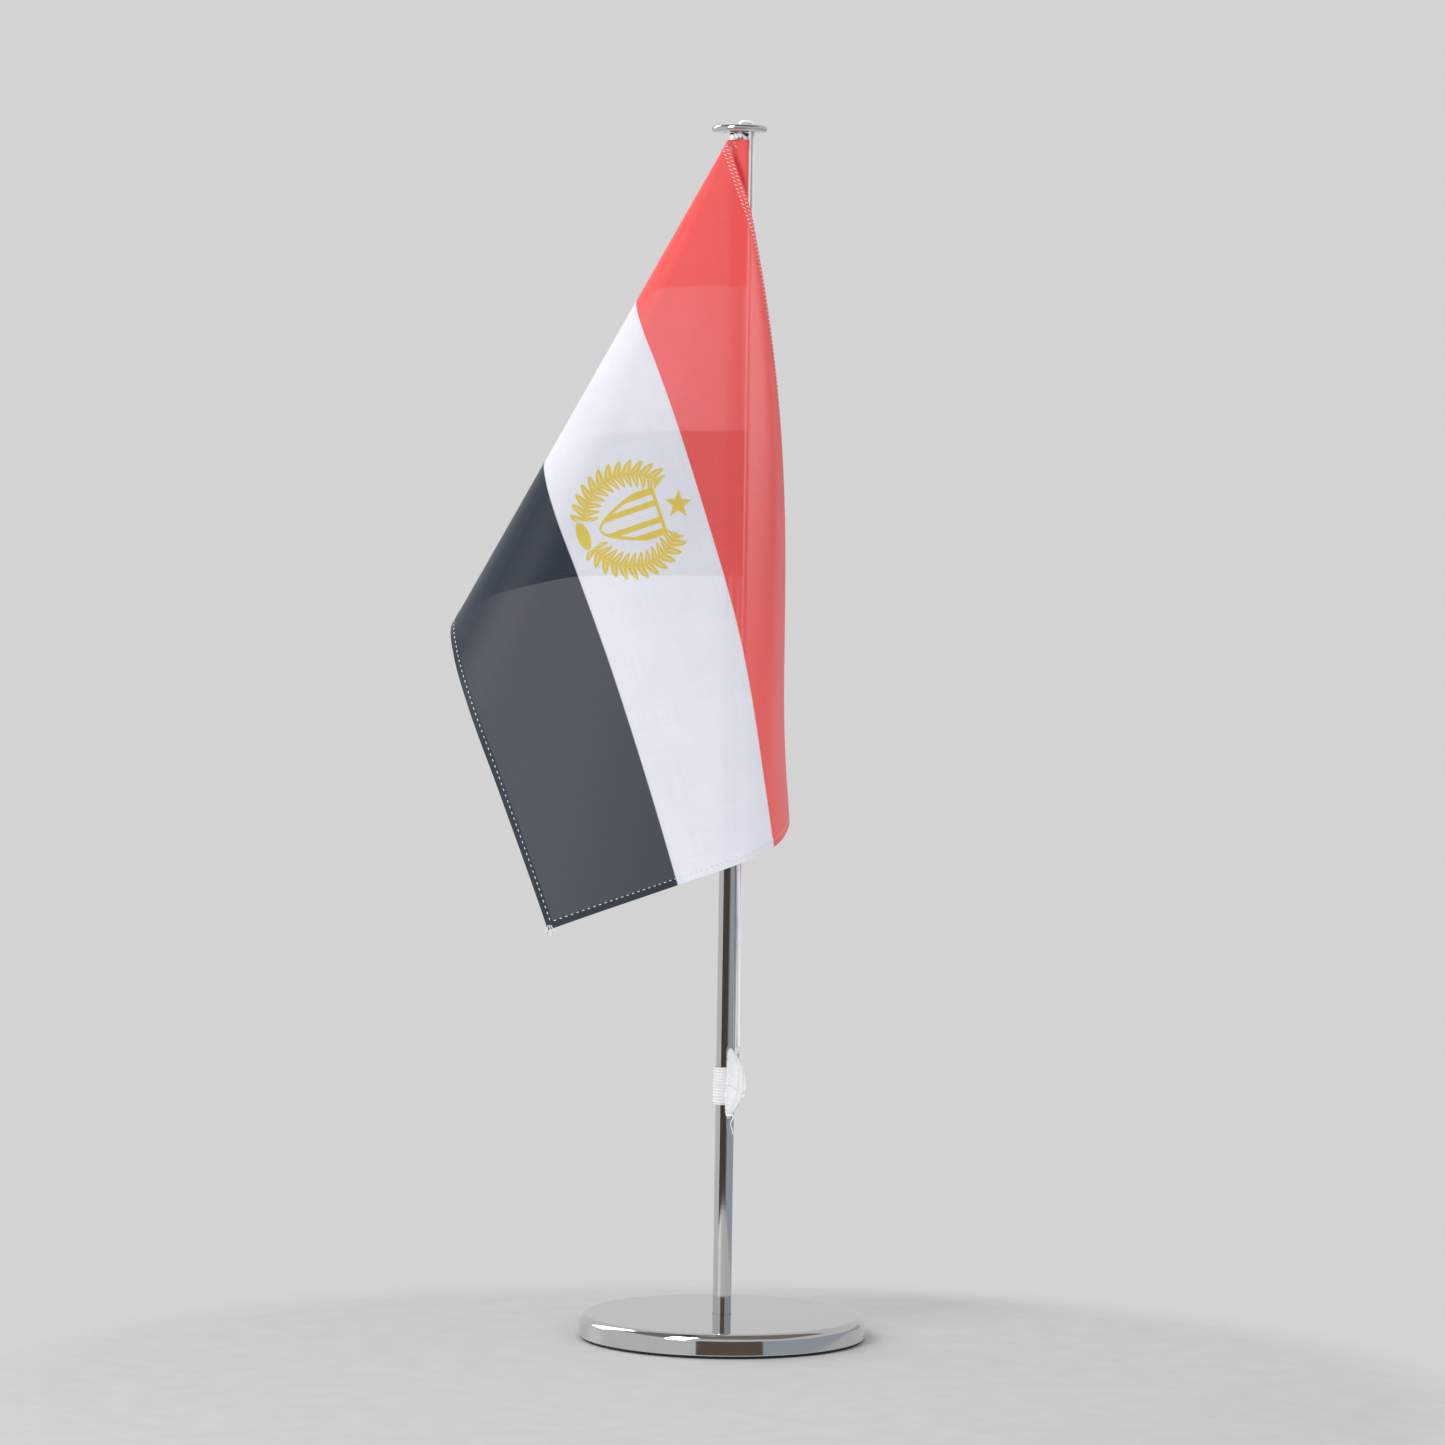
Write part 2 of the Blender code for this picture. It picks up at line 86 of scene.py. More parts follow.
def place_panel(name, low_azimuth, high_azimuth, low, high, colour):
    """A curved panel round the stand that lights nothing and shows only in reflections."""
    bpy.ops.object.select_all(action="DESELECT")
    bpy.ops.mesh.primitive_grid_add(x_subdivisions=24, y_subdivisions=1, size=2)
    panel = bpy.context.object
    panel.name = name
    for vertex in panel.data.vertices:
        share = (vertex.co.x + 1) / 2
        turn = math.radians(low_azimuth + (high_azimuth - low_azimuth) * share)
        height = low if vertex.co.y < 0 else high
        vertex.co = (PANEL_DISTANCE * math.sin(turn), -PANEL_DISTANCE * math.cos(turn), height)
    paint = bpy.data.materials.new(name)
    paint.use_nodes = True
    tree = paint.node_tree
    tree.nodes.clear()
    glow = tree.nodes.new("ShaderNodeEmission")
    glow.inputs["Color"].default_value = (*colour, 1.0)
    end = tree.nodes.new("ShaderNodeOutputMaterial")
    tree.links.new(glow.outputs[0], end.inputs["Surface"])
    panel.data.materials.append(paint)
    panel.visible_camera = False
    panel.visible_diffuse = False
    panel.visible_shadow = False
    panel.visible_transmission = False
    return panel


def place_ceiling():
    """A brownish ceiling over the front of the room, which only polished metal sees."""
    ceiling = place_panel("ceiling_panel", -90, 90, 0.0, 1.0, (0.23, 0.205, 0.185))
    for vertex in ceiling.data.vertices:
        front_or_back = CEILING_FRONT if vertex.co.z < 0.5 else CEILING_BACK
        vertex.co = (vertex.co.x * 1.2, front_or_back, CEILING_HEIGHT)


def place_table():
    """A round top of pale stone whose edge fades into the room."""
    bpy.ops.object.select_all(action="DESELECT")
    bpy.ops.mesh.primitive_circle_add(
        vertices=128, radius=TABLE_RADIUS, fill_type="NGON", location=(0.0, -TABLE_FORWARD, 0.0)
    )
    table = bpy.context.object
    table.name = "table_top"
    paint = bpy.data.materials.new("table_top")
    paint.use_nodes = True
    tree = paint.node_tree
    shader = tree.nodes["Principled BSDF"]
    place = tree.nodes.new("ShaderNodeTexCoord")
    distance = tree.nodes.new("ShaderNodeVectorMath")
    distance.operation = "LENGTH"
    tree.links.new(place.outputs["Object"], distance.inputs[0])
    fade = tree.nodes.new("ShaderNodeMapRange")
    fade.interpolation_type = "SMOOTHSTEP"
    fade.inputs["From Min"].default_value = TABLE_RADIUS * 0.80
    fade.inputs["From Max"].default_value = TABLE_RADIUS * 0.99
    fade.inputs["To Min"].default_value = 1.0
    fade.inputs["To Max"].default_value = 0.0
    tree.links.new(distance.outputs["Value"], fade.inputs["Value"])
    tree.links.new(fade.outputs["Result"], shader.inputs["Alpha"])
    grain = tree.nodes.new("ShaderNodeTexNoise")
    grain.inputs["Scale"].default_value = 90.0
    grain.inputs["Detail"].default_value = 6.0
    tree.links.new(place.outputs["Object"], grain.inputs["Vector"])
    tone = tree.nodes.new("ShaderNodeMapRange")
    tone.inputs["To Min"].default_value = 0.46
    tone.inputs["To Max"].default_value = 0.55
    tree.links.new(grain.outputs[0], tone.inputs["Value"])
    tree.links.new(tone.outputs["Result"], shader.inputs["Base Color"])
    shader.inputs["Roughness"].default_value = 0.6
    table.data.materials.append(paint)


room = bpy.data.worlds.new("room")
room.use_nodes = True
room_light = room.node_tree.nodes["Background"]
room_light.inputs["Color"].default_value = (ROOM_GREY, ROOM_GREY, ROOM_GREY, 1.0)
bpy.context.scene.world = room
place_table()
place_light("window_front_left", -38, 32, 2.4, (0.75, 1.9), 40.0, (1.0, 0.99, 0.97))
place_light("window_back_left", -122, 28, 2.4, (0.9, 1.8), 14.0, (0.98, 0.99, 1.0))
fill = place_light("fill_front_right", 48, 20, 2.6, (1.8, 1.8), 18.0, (1.0, 0.99, 0.98))
fill.visible_glossy = False
place_panel("dark_panel", -57, 20, -0.65, 0.02, (0.080, 0.064, 0.056))
place_panel("dim_panel", 20, 33, -0.65, 0.02, (0.20, 0.20, 0.20))
place_panel("brown_panel", -20, 33, 0.02, 0.55, (0.13, 0.098, 0.075))
place_panel("grey_panel", 33, 150, -0.65, 0.5, (0.38, 0.42, 0.46))
place_ceiling()


# The halyard: one white twisted cord of three strands. It runs up inside the flag's hoist hem,
# through the truck, over its top and down the pole's right side to the elastic, which keeps it taut.
CORD_DIAMETER = 0.0012
TRUCK_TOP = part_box("truck_disc")[1].z
LINE_HOLE = 0.0047
HOIST_LINE = (0.0020, -0.0044)
HOIST_TOP = 0.4150
FLAG_HOIST = 0.150
TIE_HEIGHT = 0.1012
STRAND_TURN = 0.0034


def smooth_route(points, spacing):
    """Points along a smooth curve through the given ones, about a spacing apart."""
    route = [Vector(points[0])]
    for i in range(len(points) - 1):
        before = Vector(points[max(i - 1, 0)])
        start = Vector(points[i])
        end = Vector(points[i + 1])
        after = Vector(points[min(i + 2, len(points) - 1)])
        steps = max(1, round((end - start).length / spacing))
        for step in range(1, steps + 1):
            t = step / steps
            curve = 2 * start + (end - before) * t
            curve += (2 * before - 5 * start + 4 * end - after) * t * t
            curve += (3 * start - before - 3 * end + after) * t**3
            route.append(curve / 2)
    return route


def even_route(points, spacing):
    """The same line with its points an equal distance apart."""
    places = np.array([tuple(p) for p in points])
    run = np.concatenate([[0.0], np.cumsum(np.linalg.norm(np.diff(places, axis=0), axis=1))])
    marks = np.linspace(0.0, run[-1], max(2, round(run[-1] / spacing)) + 1)
    return np.stack([np.interp(marks, run, places[:, k]) for k in range(3)], axis=1), marks


def swept(name, route, outline, around=18):
    """A closed tube along a route. outline(distance, angles) gives its radius in metres, around
    is its number of corners, and a UV map holds the way round and the way along."""
    places, along = route
    ahead = np.gradient(places, axis=0)
    ahead /= np.linalg.norm(ahead, axis=1)[:, None]
    side = np.cross(ahead[0], (0.0, 1.0, 0.0))
    if np.linalg.norm(side) < 0.1:
        side = np.cross(ahead[0], (1.0, 0.0, 0.0))
    side /= np.linalg.norm(side)
    angles = np.arange(around) * 2 * math.pi / around
    corners = []
    for place, forward, distance in zip(places, ahead, along):
        side = side - forward * side.dot(forward)
        side /= np.linalg.norm(side)
        other = np.cross(forward, side)
        radius = outline(distance, angles)
        ring = (np.cos(angles) * radius)[:, None] * side + (np.sin(angles) * radius)[:, None] * other
        corners.append(place + ring)
    corners = np.concatenate(corners)
    last = len(places) - 1
    faces = []
    for ring in range(last):
        low, high = ring * around, (ring + 1) * around
        for step in range(around):
            after = (step + 1) % around
            faces.append((low + step, low + after, high + after, high + step))
    faces.append(tuple(reversed(range(around))))
    faces.append(tuple(range(last * around, (last + 1) * around)))
    mesh = bpy.data.meshes.new(name)
    mesh.from_pydata(corners.tolist(), [], faces)
    layer = mesh.uv_layers.new(name="run")
    for face in mesh.polygons[: last * around]:
        for loop in face.loop_indices:
            index = mesh.loops[loop].vertex_index
            share = (index % around) / around
            if share == 0.0 and face.index % around == around - 1:
                share = 1.0
            layer.data[loop].uv = (share, along[index // around] / along[-1])
    mesh.shade_smooth()
    piece = bpy.data.objects.new(name, mesh)
    bpy.context.collection.objects.link(piece)
    return piece


def twisted(diameter, turn, strands=3):
    """The outline of a cord laid from strands: its lobes go round once in each turn."""

    def outline(distance, angles):
        lobes = np.abs(np.cos((angles - 2 * math.pi * distance / turn) * strands / 2))
        return diameter / 2 * (0.80 + 0.20 * lobes**0.7)

    return outline


def halyard_points():
    """The halyard's route from its front tie, up the hoist, over the truck and down to its back tie."""
    x, y = HOIST_LINE
    flag_foot = HOIST_TOP - FLAG_HOIST
    over = TRUCK_TOP + 0.0010
    bend = [
        (x, y, HOIST_TOP - 0.004),
        (x, y, HOIST_TOP + 0.0002),
        (0.0010, -0.0046, HOIST_TOP + 0.0014),
        (0.0001, -LINE_HOLE, HOIST_TOP + 0.0026),
        (0.0000, -LINE_HOLE, TRUCK_TOP - 0.0004),
        (0.0006, -0.0040, over - 0.0001),
        (0.0023, -0.0023, over + 0.0002),
        (0.0041, -0.0006, over - 0.0001),
        (LINE_HOLE, 0.0000, TRUCK_TOP - 0.0004),
        (LINE_HOLE, 0.0000, HOIST_TOP + 0.0010),
        (LINE_HOLE, 0.0000, HOIST_TOP - 0.0040),
    ]
    tie_front = Vector((0.0045, -0.0008, TIE_HEIGHT))
    tie_back = Vector((0.0043, 0.0008, TIE_HEIGHT))
    foot = Vector((x, y, flag_foot - 0.02))
    flag_run = [tie_front, tie_front.lerp(foot, 0.5), foot, Vector((x, y, flag_foot))]
    return flag_run + smooth_route(bend, 0.0006) + [tie_back]


def node_maker(tree):
    """Short ways to add maths and other nodes to one node tree."""

    def put(socket, value):
        if isinstance(value, bpy.types.NodeSocket):
            tree.links.new(value, socket)
        else:
            socket.default_value = value

    def maths(operation, *values, clamp=False):
        node = tree.nodes.new("ShaderNodeMath")
        node.operation = operation
        node.use_clamp = clamp
        for socket, value in zip(node.inputs, values):
            put(socket, value)
        return node.outputs[0]

    def add(kind, settings=(), output=0, **inputs):
        node = tree.nodes.new(kind)
        for key, value in dict(settings).items():
            setattr(node, key, value)
        for key, value in inputs.items():
            put(node.inputs[key.replace("_", " ")], value)
        return node.outputs[output]

    return put, maths, add


def own_place(add):
    """Where a point lies on its own piece, in metres."""
    return add("ShaderNodeTexCoord", output=3)


def noise(add, place, scale, detail):
    """Mottling from 0 to 1, with scale spots or so in each unit of place."""
    return add("ShaderNodeTexNoise", Vector=place, Scale=scale, Detail=detail)


def toned(add, colour, share):
    """The colour made darker by a share that changes over the surface."""
    return add("ShaderNodeVectorMath", {"operation": "SCALE"}, Vector=colour, Scale=share)


def relief(add, height, strength, depth):
    """A normal that follows a height, whose full range is that deep in metres."""
    return add("ShaderNodeBump", Height=height, Strength=strength, Distance=depth)


def two_ways(tree, vector):
    """The first two coordinates of a flat pattern's place."""
    node = tree.nodes.new("ShaderNodeSeparateXYZ")
    tree.links.new(vector, node.inputs["Vector"])
    return node.outputs[0], node.outputs[1]


def set_surface(shader, **values):
    """Sets a shader's plain values by name."""
    for key, value in values.items():
        shader.inputs[key.replace("_", " ")].default_value = value


def new_material(name, slot_colour):
    """A material with its shader, in the plain colour that its pattern then takes the place of."""
    made = bpy.data.materials.new(name)
    made.use_nodes = True
    made.diffuse_color = (*slot_colour, 1.0)
    shader = made.node_tree.nodes["Principled BSDF"]
    shader.inputs["Base Color"].default_value = (*slot_colour, 1.0)
    return made, shader


def new_group(name, inputs, outputs):
    """An empty shader group with named sockets: inputs have a kind and a value, outputs a kind."""
    group = bpy.data.node_groups.new(name, "ShaderNodeTree")
    for label, kind, value in inputs:
        socket = group.interface.new_socket(label, in_out="INPUT", socket_type=kind)
        if value is not None:
            socket.default_value = value
    for label, kind in outputs:
        group.interface.new_socket(label, in_out="OUTPUT", socket_type=kind)
    start = group.nodes.new("NodeGroupInput")
    end = group.nodes.new("NodeGroupOutput")
    return group, start, end


def use_group(tree, group, **inputs):
    """Places a group in a material with that material's own values."""
    node = tree.nodes.new("ShaderNodeGroup")
    node.node_tree = group
    put, _, _ = node_maker(tree)
    for key, value in inputs.items():
        put(node.inputs[key.replace("_", " ")], value)
    return node


def fibre_group():
    """Spun fibres: fine slanted lines that cross the run so often, with fluff and a little greying, and
    painted shade that darkens the grooves between the lines.
    """
    group, start, end = new_group(
        "spun_fibres",
        [
            ("Vector", "NodeSocketVector", None),
            ("Lines Round", "NodeSocketFloat", 20.0),
            ("Lines Along", "NodeSocketFloat", 200.0),
        ],
        [("Height", "NodeSocketFloat"), ("Shade", "NodeSocketFloat")],
    )
    put, maths, add = node_maker(group)
    u, v = two_ways(group, start.outputs["Vector"])
    lines_round = maths("MULTIPLY", u, start.outputs["Lines Round"])
    slant = maths("ADD", lines_round, maths("MULTIPLY", v, start.outputs["Lines Along"]))
    line = maths("SINE", maths("MULTIPLY", slant, 2 * math.pi))
    place = own_place(add)
    fluff = noise(add, place, 2600.0, 3.0)
    patches = noise(add, place, 160.0, 2.0)
    height = maths("ADD", maths("MULTIPLY", line, 0.35), maths("MULTIPLY", fluff, 0.9))
    # The lines' colour follows their relief: painted shade in the grooves between the fibres.
    groove_shaded = maths("ADD", maths("MULTIPLY", line, 0.04), 0.87)
    shade = maths("ADD", maths("MULTIPLY", patches, 0.22), groove_shaded)
    put(end.inputs["Height"], height)
    put(end.inputs["Shade"], shade)
    return group


spun_fibres = fibre_group()


def fibre_material(name, colour, lines_round, lines_along, depth):
    """White thread or cord: its fibres slant by the lines round against the lines along."""
    made, shader = new_material(name, colour)
    tree = made.node_tree
    put, _, add = node_maker(tree)
    run = add("ShaderNodeUVMap", {"uv_map": "run"})
    fibres = use_group(tree, spun_fibres, Vector=run, Lines_Round=lines_round, Lines_Along=lines_along)
    tone = toned(add, colour, fibres.outputs["Shade"])
    put(shader.inputs["Base Color"], tone)
    put(shader.inputs["Normal"], relief(add, fibres.outputs["Height"], 0.5, depth))
    set_surface(shader, Roughness=0.75, Sheen_Weight=0.25)
    set_surface(shader, Subsurface_Weight=0.15, Subsurface_Radius=(0.0006, 0.0006, 0.0006))
    return made


def hand_over(piece, material, body, slot, *nodes):
    """Paints a piece, lets it ride its body and puts it in the place of its CAD nodes."""
    piece.data.materials.append(material)
    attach(piece, body)
    if nodes:
        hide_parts(*nodes)


cord_white = fibre_material("cord_white", (0.92, 0.92, 0.98), 3.0, 900.0, 0.00005)
halyard_line = halyard_points()
halyard = swept("halyard_cord", even_route(halyard_line, 0.0004), twisted(CORD_DIAMETER, STRAND_TURN))
hand_over(halyard, cord_white, "rigging", "white_cord", "halyard")
halyard_path = even_route(halyard_line, 0.0015)[0]


# The base: a heavy steel disc, turned with a rounded upper edge and chrome plated. The pole stands
# in a shallow socket on top, and its screw comes up through a counterbore underneath.
BASE_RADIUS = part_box("base_disc")[1].x
BASE_FOOT, BASE_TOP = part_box("base_disc")[0].z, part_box("base_disc")[1].z
BASE_ROUNDING = 0.0024
BASE_LEAN = 0.0008  # the side narrows by this much from foot to top
POLE_SOCKET = 0.0034
POLE_SOCKET_DEPTH = 0.0010
COUNTERBORE = 0.0040
COUNTERBORE_DEPTH = 0.0038
SCREW_HOLE = 0.0017
HARD_SURFACE = 35  # degrees: pieces smoothed by up to this angle keep their long faces flat
NEAR = 1e-5  # metres: how close to a height counts as lying at it
ON_AXIS = 1e-4  # metres: how close to the axis the middle of a round face lies
FLAT_ON = 0.9  # the share of a face's normal that points up or down when it is level


def start_piece(name, kind, **sizes):
    """A new primitive, alone in the selection and in edit mode with nothing selected."""
    if bpy.context.mode == "EDIT_MESH":
        bpy.ops.object.mode_set(mode="OBJECT")
    bpy.ops.object.select_all(action="DESELECT")
    getattr(bpy.ops.mesh, f"primitive_{kind}_add")(**sizes)
    piece = bpy.context.object
    piece.name = name
    bpy.ops.object.transform_apply(location=True)
    bpy.ops.object.mode_set(mode="EDIT")
    bpy.ops.mesh.select_all(action="DESELECT")
    return piece


def round_blank(name, radius, foot, top, vertices, at=(0, 0), **more):
    """A cylinder from foot to top, ready to be shaped."""
    middle = (*at, (top + foot) / 2)
    sizes = {"vertices": vertices, "radius": radius, "depth": top - foot, "location": middle}
    return start_piece(name, "cylinder", **sizes, **more)


def pick(piece, faces=None, edges=None):
    """Selects the faces or edges whose middle passes the test."""
    bpy.ops.mesh.select_all(action="DESELECT")
    bpy.ops.mesh.select_mode(type="FACE" if faces else "EDGE")
    shape = bmesh.from_edit_mesh(piece.data)
    shape.normal_update()
    for face in shape.faces if faces else ():
        face.select = bool(faces(face.calc_center_median(), face.normal))
    for edge in shape.edges if edges else ():
        edge.select = bool(edges((edge.verts[0].co + edge.verts[1].co) / 2))
    shape.select_flush_mode()
    bmesh.update_edit_mesh(piece.data)


def inset_to(piece, height, old_radius, new_radius, facing=1):
    """Insets the flat round face at that height, from one radius to a smaller one."""

    def chosen(middle, normal):
        level = abs(middle.z - height) < NEAR and normal.z * facing > FLAT_ON
        return level and middle.xy.length < ON_AXIS

    pick(piece, faces=chosen)
    bpy.ops.mesh.inset(thickness=old_radius - new_radius, use_even_offset=False)


def push(distance):
    """Extrudes what is selected straight up, or down for a negative distance."""
    bpy.ops.mesh.extrude_region_move(TRANSFORM_OT_translate={"value": (0, 0, distance)})


def round_rim(piece, height, radius, rounding, segments):
    """Rounds the outer rim at that height."""
    pick(piece, edges=lambda middle: abs(middle.z - height) < NEAR and middle.xy.length > radius * 0.99)
    bpy.ops.mesh.bevel(offset=rounding, segments=segments, affect="EDGES")


def finish_piece(piece, material, body, slot, *nodes, smooth_degrees=HARD_SURFACE):
    """Leaves edit mode with the piece's place in its mesh, shades it and hands it to its body."""
    if bpy.context.mode == "EDIT_MESH":
        bpy.ops.object.mode_set(mode="OBJECT")
    bpy.ops.object.select_all(action="DESELECT")
    piece.select_set(True)
    bpy.context.view_layer.objects.active = piece
    bpy.ops.object.transform_apply(location=True, rotation=True, scale=True)
    bpy.ops.object.shade_smooth_by_angle(angle=math.radians(smooth_degrees))
    if smooth_degrees <= HARD_SURFACE:
        flat_faces = piece.modifiers.new("flat_faces", "WEIGHTED_NORMAL")
        flat_faces.weight = 100
        flat_faces.keep_sharp = True
        bpy.ops.object.modifier_apply(modifier="flat_faces")
    hand_over(piece, material, body, slot, *nodes)


def through_hole(piece, radius, heights):
    """Deletes the two round faces of that radius and joins their rims with a wall."""

    def at_an_end(middle):
        return min(abs(middle.z - height) for height in heights) < NEAR

    def end_face(middle, normal):
        return middle.xy.length < ON_AXIS and at_an_end(middle) and abs(normal.z) > FLAT_ON

    def rim_edge(middle):
        return abs(middle.xy.length - radius) < radius * 0.02 and at_an_end(middle)

    pick(piece, faces=end_face)
    bpy.ops.mesh.delete(type="FACE")
    pick(piece, edges=rim_edge)
    bpy.ops.mesh.bridge_edge_loops()


def plating_group():
    """What shows on polished plate: faint polishing lines, smears of handling and a few specks."""
    group, start, end = new_group(
        "polished_plate",
        [("Smear", "NodeSocketFloat", 0.05), ("Ripple", "NodeSocketFloat", 0.2)],
        [("Roughness", "NodeSocketFloat"), ("Height", "NodeSocketFloat"), ("Shade", "NodeSocketFloat")],
    )
    put, maths, add = node_maker(group)
    place = own_place(add)
    smears = add("ShaderNodeTexNoise", Vector=place, Scale=38.0, Detail=4.0, Roughness=0.55)
    lines = noise(add, place, 900.0, 2.0)
    specks = add("ShaderNodeTexVoronoi", Vector=place, Scale=260.0)
    speck = maths("LESS_THAN", specks, 0.05)
    ripple = noise(add, place, 55.0, 1.0)
    rough = maths("MULTIPLY", maths("POWER", smears, 2.0), start.outputs["Smear"])
    rough = maths("ADD", rough, maths("MULTIPLY", speck, 0.05))
    rough = maths("ADD", rough, maths("MULTIPLY", lines, 0.02))
    put(end.inputs["Roughness"], maths("ADD", rough, 0.035))
    height = maths("MULTIPLY", ripple, start.outputs["Ripple"])
    put(end.inputs["Height"], maths("ADD", height, maths("MULTIPLY", lines, 0.012)))
    shade = maths("SUBTRACT", 1.0, maths("MULTIPLY", smears, 0.06))
    put(end.inputs["Shade"], maths("SUBTRACT", shade, maths("MULTIPLY", speck, 0.06)))
    return group


polished_plate = plating_group()


def plated(name, colour, smear, ripple):
    """Polished chrome plate, with its own share of handling smears and of unevenness."""
    made, shader = new_material(name, colour)
    put, _, add = node_maker(made.node_tree)
    plate = use_group(made.node_tree, polished_plate, Smear=smear, Ripple=ripple)
    tone = toned(add, colour, plate.outputs["Shade"])
    put(shader.inputs["Base Color"], tone)
    put(shader.inputs["Roughness"], plate.outputs["Roughness"])
    put(shader.inputs["Normal"], relief(add, plate.outputs["Height"], 0.4, 0.0003))
    set_surface(shader, Metallic=1.0)
    return made


chrome_base = plated("chrome_base", (0.645, 0.645, 0.655), 0.10, 0.10)
base = round_blank("chromed_base", BASE_RADIUS, BASE_FOOT, BASE_TOP, 256)
round_rim(base, BASE_TOP, BASE_RADIUS, BASE_ROUNDING, 10)
round_rim(base, BASE_FOOT, BASE_RADIUS, 0.0004, 3)
flat_radius = BASE_RADIUS - BASE_ROUNDING
inset_to(base, BASE_TOP, flat_radius, flat_radius - 0.0005)
inset_to(base, BASE_TOP, flat_radius - 0.0005, POLE_SOCKET + 0.0002)
inset_to(base, BASE_TOP, POLE_SOCKET + 0.0002, POLE_SOCKET)
push(-POLE_SOCKET_DEPTH)
inset_to(base, BASE_TOP - POLE_SOCKET_DEPTH, POLE_SOCKET, SCREW_HOLE)
inset_to(base, BASE_FOOT, BASE_RADIUS - 0.0004, COUNTERBORE, facing=-1)
push(COUNTERBORE_DEPTH)
inset_to(base, BASE_FOOT + COUNTERBORE_DEPTH, COUNTERBORE, SCREW_HOLE, facing=-1)
through_hole(base, SCREW_HOLE, (BASE_TOP - POLE_SOCKET_DEPTH, BASE_FOOT + COUNTERBORE_DEPTH))
bpy.ops.object.mode_set(mode="OBJECT")
for vertex in base.data.vertices:
    if vertex.co.xy.length > COUNTERBORE * 2:
        lean = BASE_LEAN * (vertex.co.z - BASE_FOOT) / (BASE_TOP - BASE_FOOT)
        vertex.co.xy *= 1 - lean / BASE_RADIUS
finish_piece(base, chrome_base, "stand", "chrome", "base_disc", smooth_degrees=30)


# The foam pad: a thin black disc of closed-cell foam, glued under the base so that it doesn't
# scratch a table. It hides the screw.
PAD_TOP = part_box("base_pad")[1].z
PAD_RADIUS = 0.0488


def foam_black():
    """Soft closed cells, duller and paler where they stand up; the paler colour on the raised walls is
    painted light.
    """
    made, shader = new_material("foam_black", (0.022, 0.022, 0.024))
    put, maths, add = node_maker(made.node_tree)
    place = own_place(add)
    cells = add("ShaderNodeTexVoronoi", Vector=place, Scale=2400.0)
    # Paler where the cells stand up: painted light following the relief.
    tone = toned(add, (0.030, 0.030, 0.033), maths("ADD", maths("MULTIPLY", cells, 0.6), 0.5))
    put(shader.inputs["Base Color"], tone)
    put(shader.inputs["Normal"], relief(add, cells, 0.6, 0.0002))
    set_surface(shader, Roughness=0.92)
    return made


pad = round_blank("foam_pad", PAD_RADIUS, 0.0, PAD_TOP, 192)
for end in (PAD_TOP, 0.0):
    round_rim(pad, end, PAD_RADIUS, 0.00012, 2)
finish_piece(pad, foam_black(), "stand", "foam", "base_pad")


# The base screw and its lock washer, and the two inserts in the pole: zinc-plated steel and turned
# brass. They are hidden once the stand is together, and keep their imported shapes.
def machined(name, colour, roughness):
    """Metal with the fine rings that a lathe leaves, dulled in patches."""
    made, shader = new_material(name, colour)
    put, maths, add = node_maker(made.node_tree)
    place = own_place(add)
    turned = add("ShaderNodeMapping", Vector=place, Scale=(60.0, 60.0, 2600.0))
    lines = noise(add, turned, 1.0, 3.0)
    dull = noise(add, place, 420.0, 3.0)
    tone = toned(add, colour, maths("ADD", maths("MULTIPLY", dull, 0.35), 0.80))
    put(shader.inputs["Base Color"], tone)
    put(shader.inputs["Roughness"], maths("ADD", maths("MULTIPLY", dull, 0.15), roughness))
    put(shader.inputs["Normal"], relief(add, lines, 0.3, 0.0001))
    set_surface(shader, Metallic=1.0)
    return made


zinc_steel = machined("zinc_steel", (0.55, 0.56, 0.58), 0.24)
turned_brass = machined("turned_brass", (0.72, 0.53, 0.26), 0.26)
for node, finish in (
    ("base_screw", zinc_steel),
    ("base_lock_washer", zinc_steel),
    ("pole_foot_plug", turned_brass),
    ("pole_head_plug", turned_brass),
):
    cad_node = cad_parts[node]
    cad_node.data.materials.clear()
    cad_node.data.materials.append(finish)


# The pole: one chrome-plated steel tube that stands straight in the base, with no collar.
# Its ends are lightly broken so that they don't cut.
POLE_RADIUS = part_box("pole_tube")[1].x
POLE_FOOT, POLE_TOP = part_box("pole_tube")[0].z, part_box("pole_tube")[1].z
POLE_WALL = 0.0006

chrome_pole = plated("chrome_pole", (0.66, 0.66, 0.655), 0.06, 0.05)
pole = round_blank("chromed_pole", POLE_RADIUS, POLE_FOOT, POLE_TOP, 96, end_fill_type="NOTHING")
bpy.ops.object.mode_set(mode="OBJECT")
wall = pole.modifiers.new("wall", "SOLIDIFY")
wall.thickness = POLE_WALL
wall.offset = -1.0
bpy.ops.object.modifier_apply(modifier="wall")
bpy.ops.object.mode_set(mode="EDIT")
for end in (POLE_TOP, POLE_FOOT):
    round_rim(pole, end, POLE_RADIUS, 0.00025, 3)
finish_piece(pole, chrome_pole, "stand", "chrome", "pole_tube")


# The washer that the truck turns on: a black nylon ring between it and the pole's end.
WASHER_FOOT, WASHER_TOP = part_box("truck_washer")[0].z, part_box("truck_washer")[1].z


def nylon_black():
    """Moulded nylon with a fine grain."""
    made, shader = new_material("nylon_black", (0.018, 0.018, 0.020))
    put, maths, add = node_maker(made.node_tree)
    place = own_place(add)
    grain = noise(add, place, 1800.0, 3.0)
    put(shader.inputs["Roughness"], maths("ADD", maths("MULTIPLY", grain, 0.25), 0.35))
    put(shader.inputs["Normal"], relief(add, grain, 0.3, 0.0001))
    return made


washer = round_blank("nylon_washer", POLE_RADIUS, WASHER_FOOT, WASHER_TOP, 96)
for end, facing in ((WASHER_TOP, 1), (WASHER_FOOT, -1)):
    round_rim(washer, end, POLE_RADIUS, 0.00015, 2)
    inset_to(washer, end, POLE_RADIUS - 0.00015, SCREW_HOLE, facing)
through_hole(washer, SCREW_HOLE, (WASHER_TOP, WASHER_FOOT))
finish_piece(washer, nylon_black(), "stand", "nylon", "truck_washer")


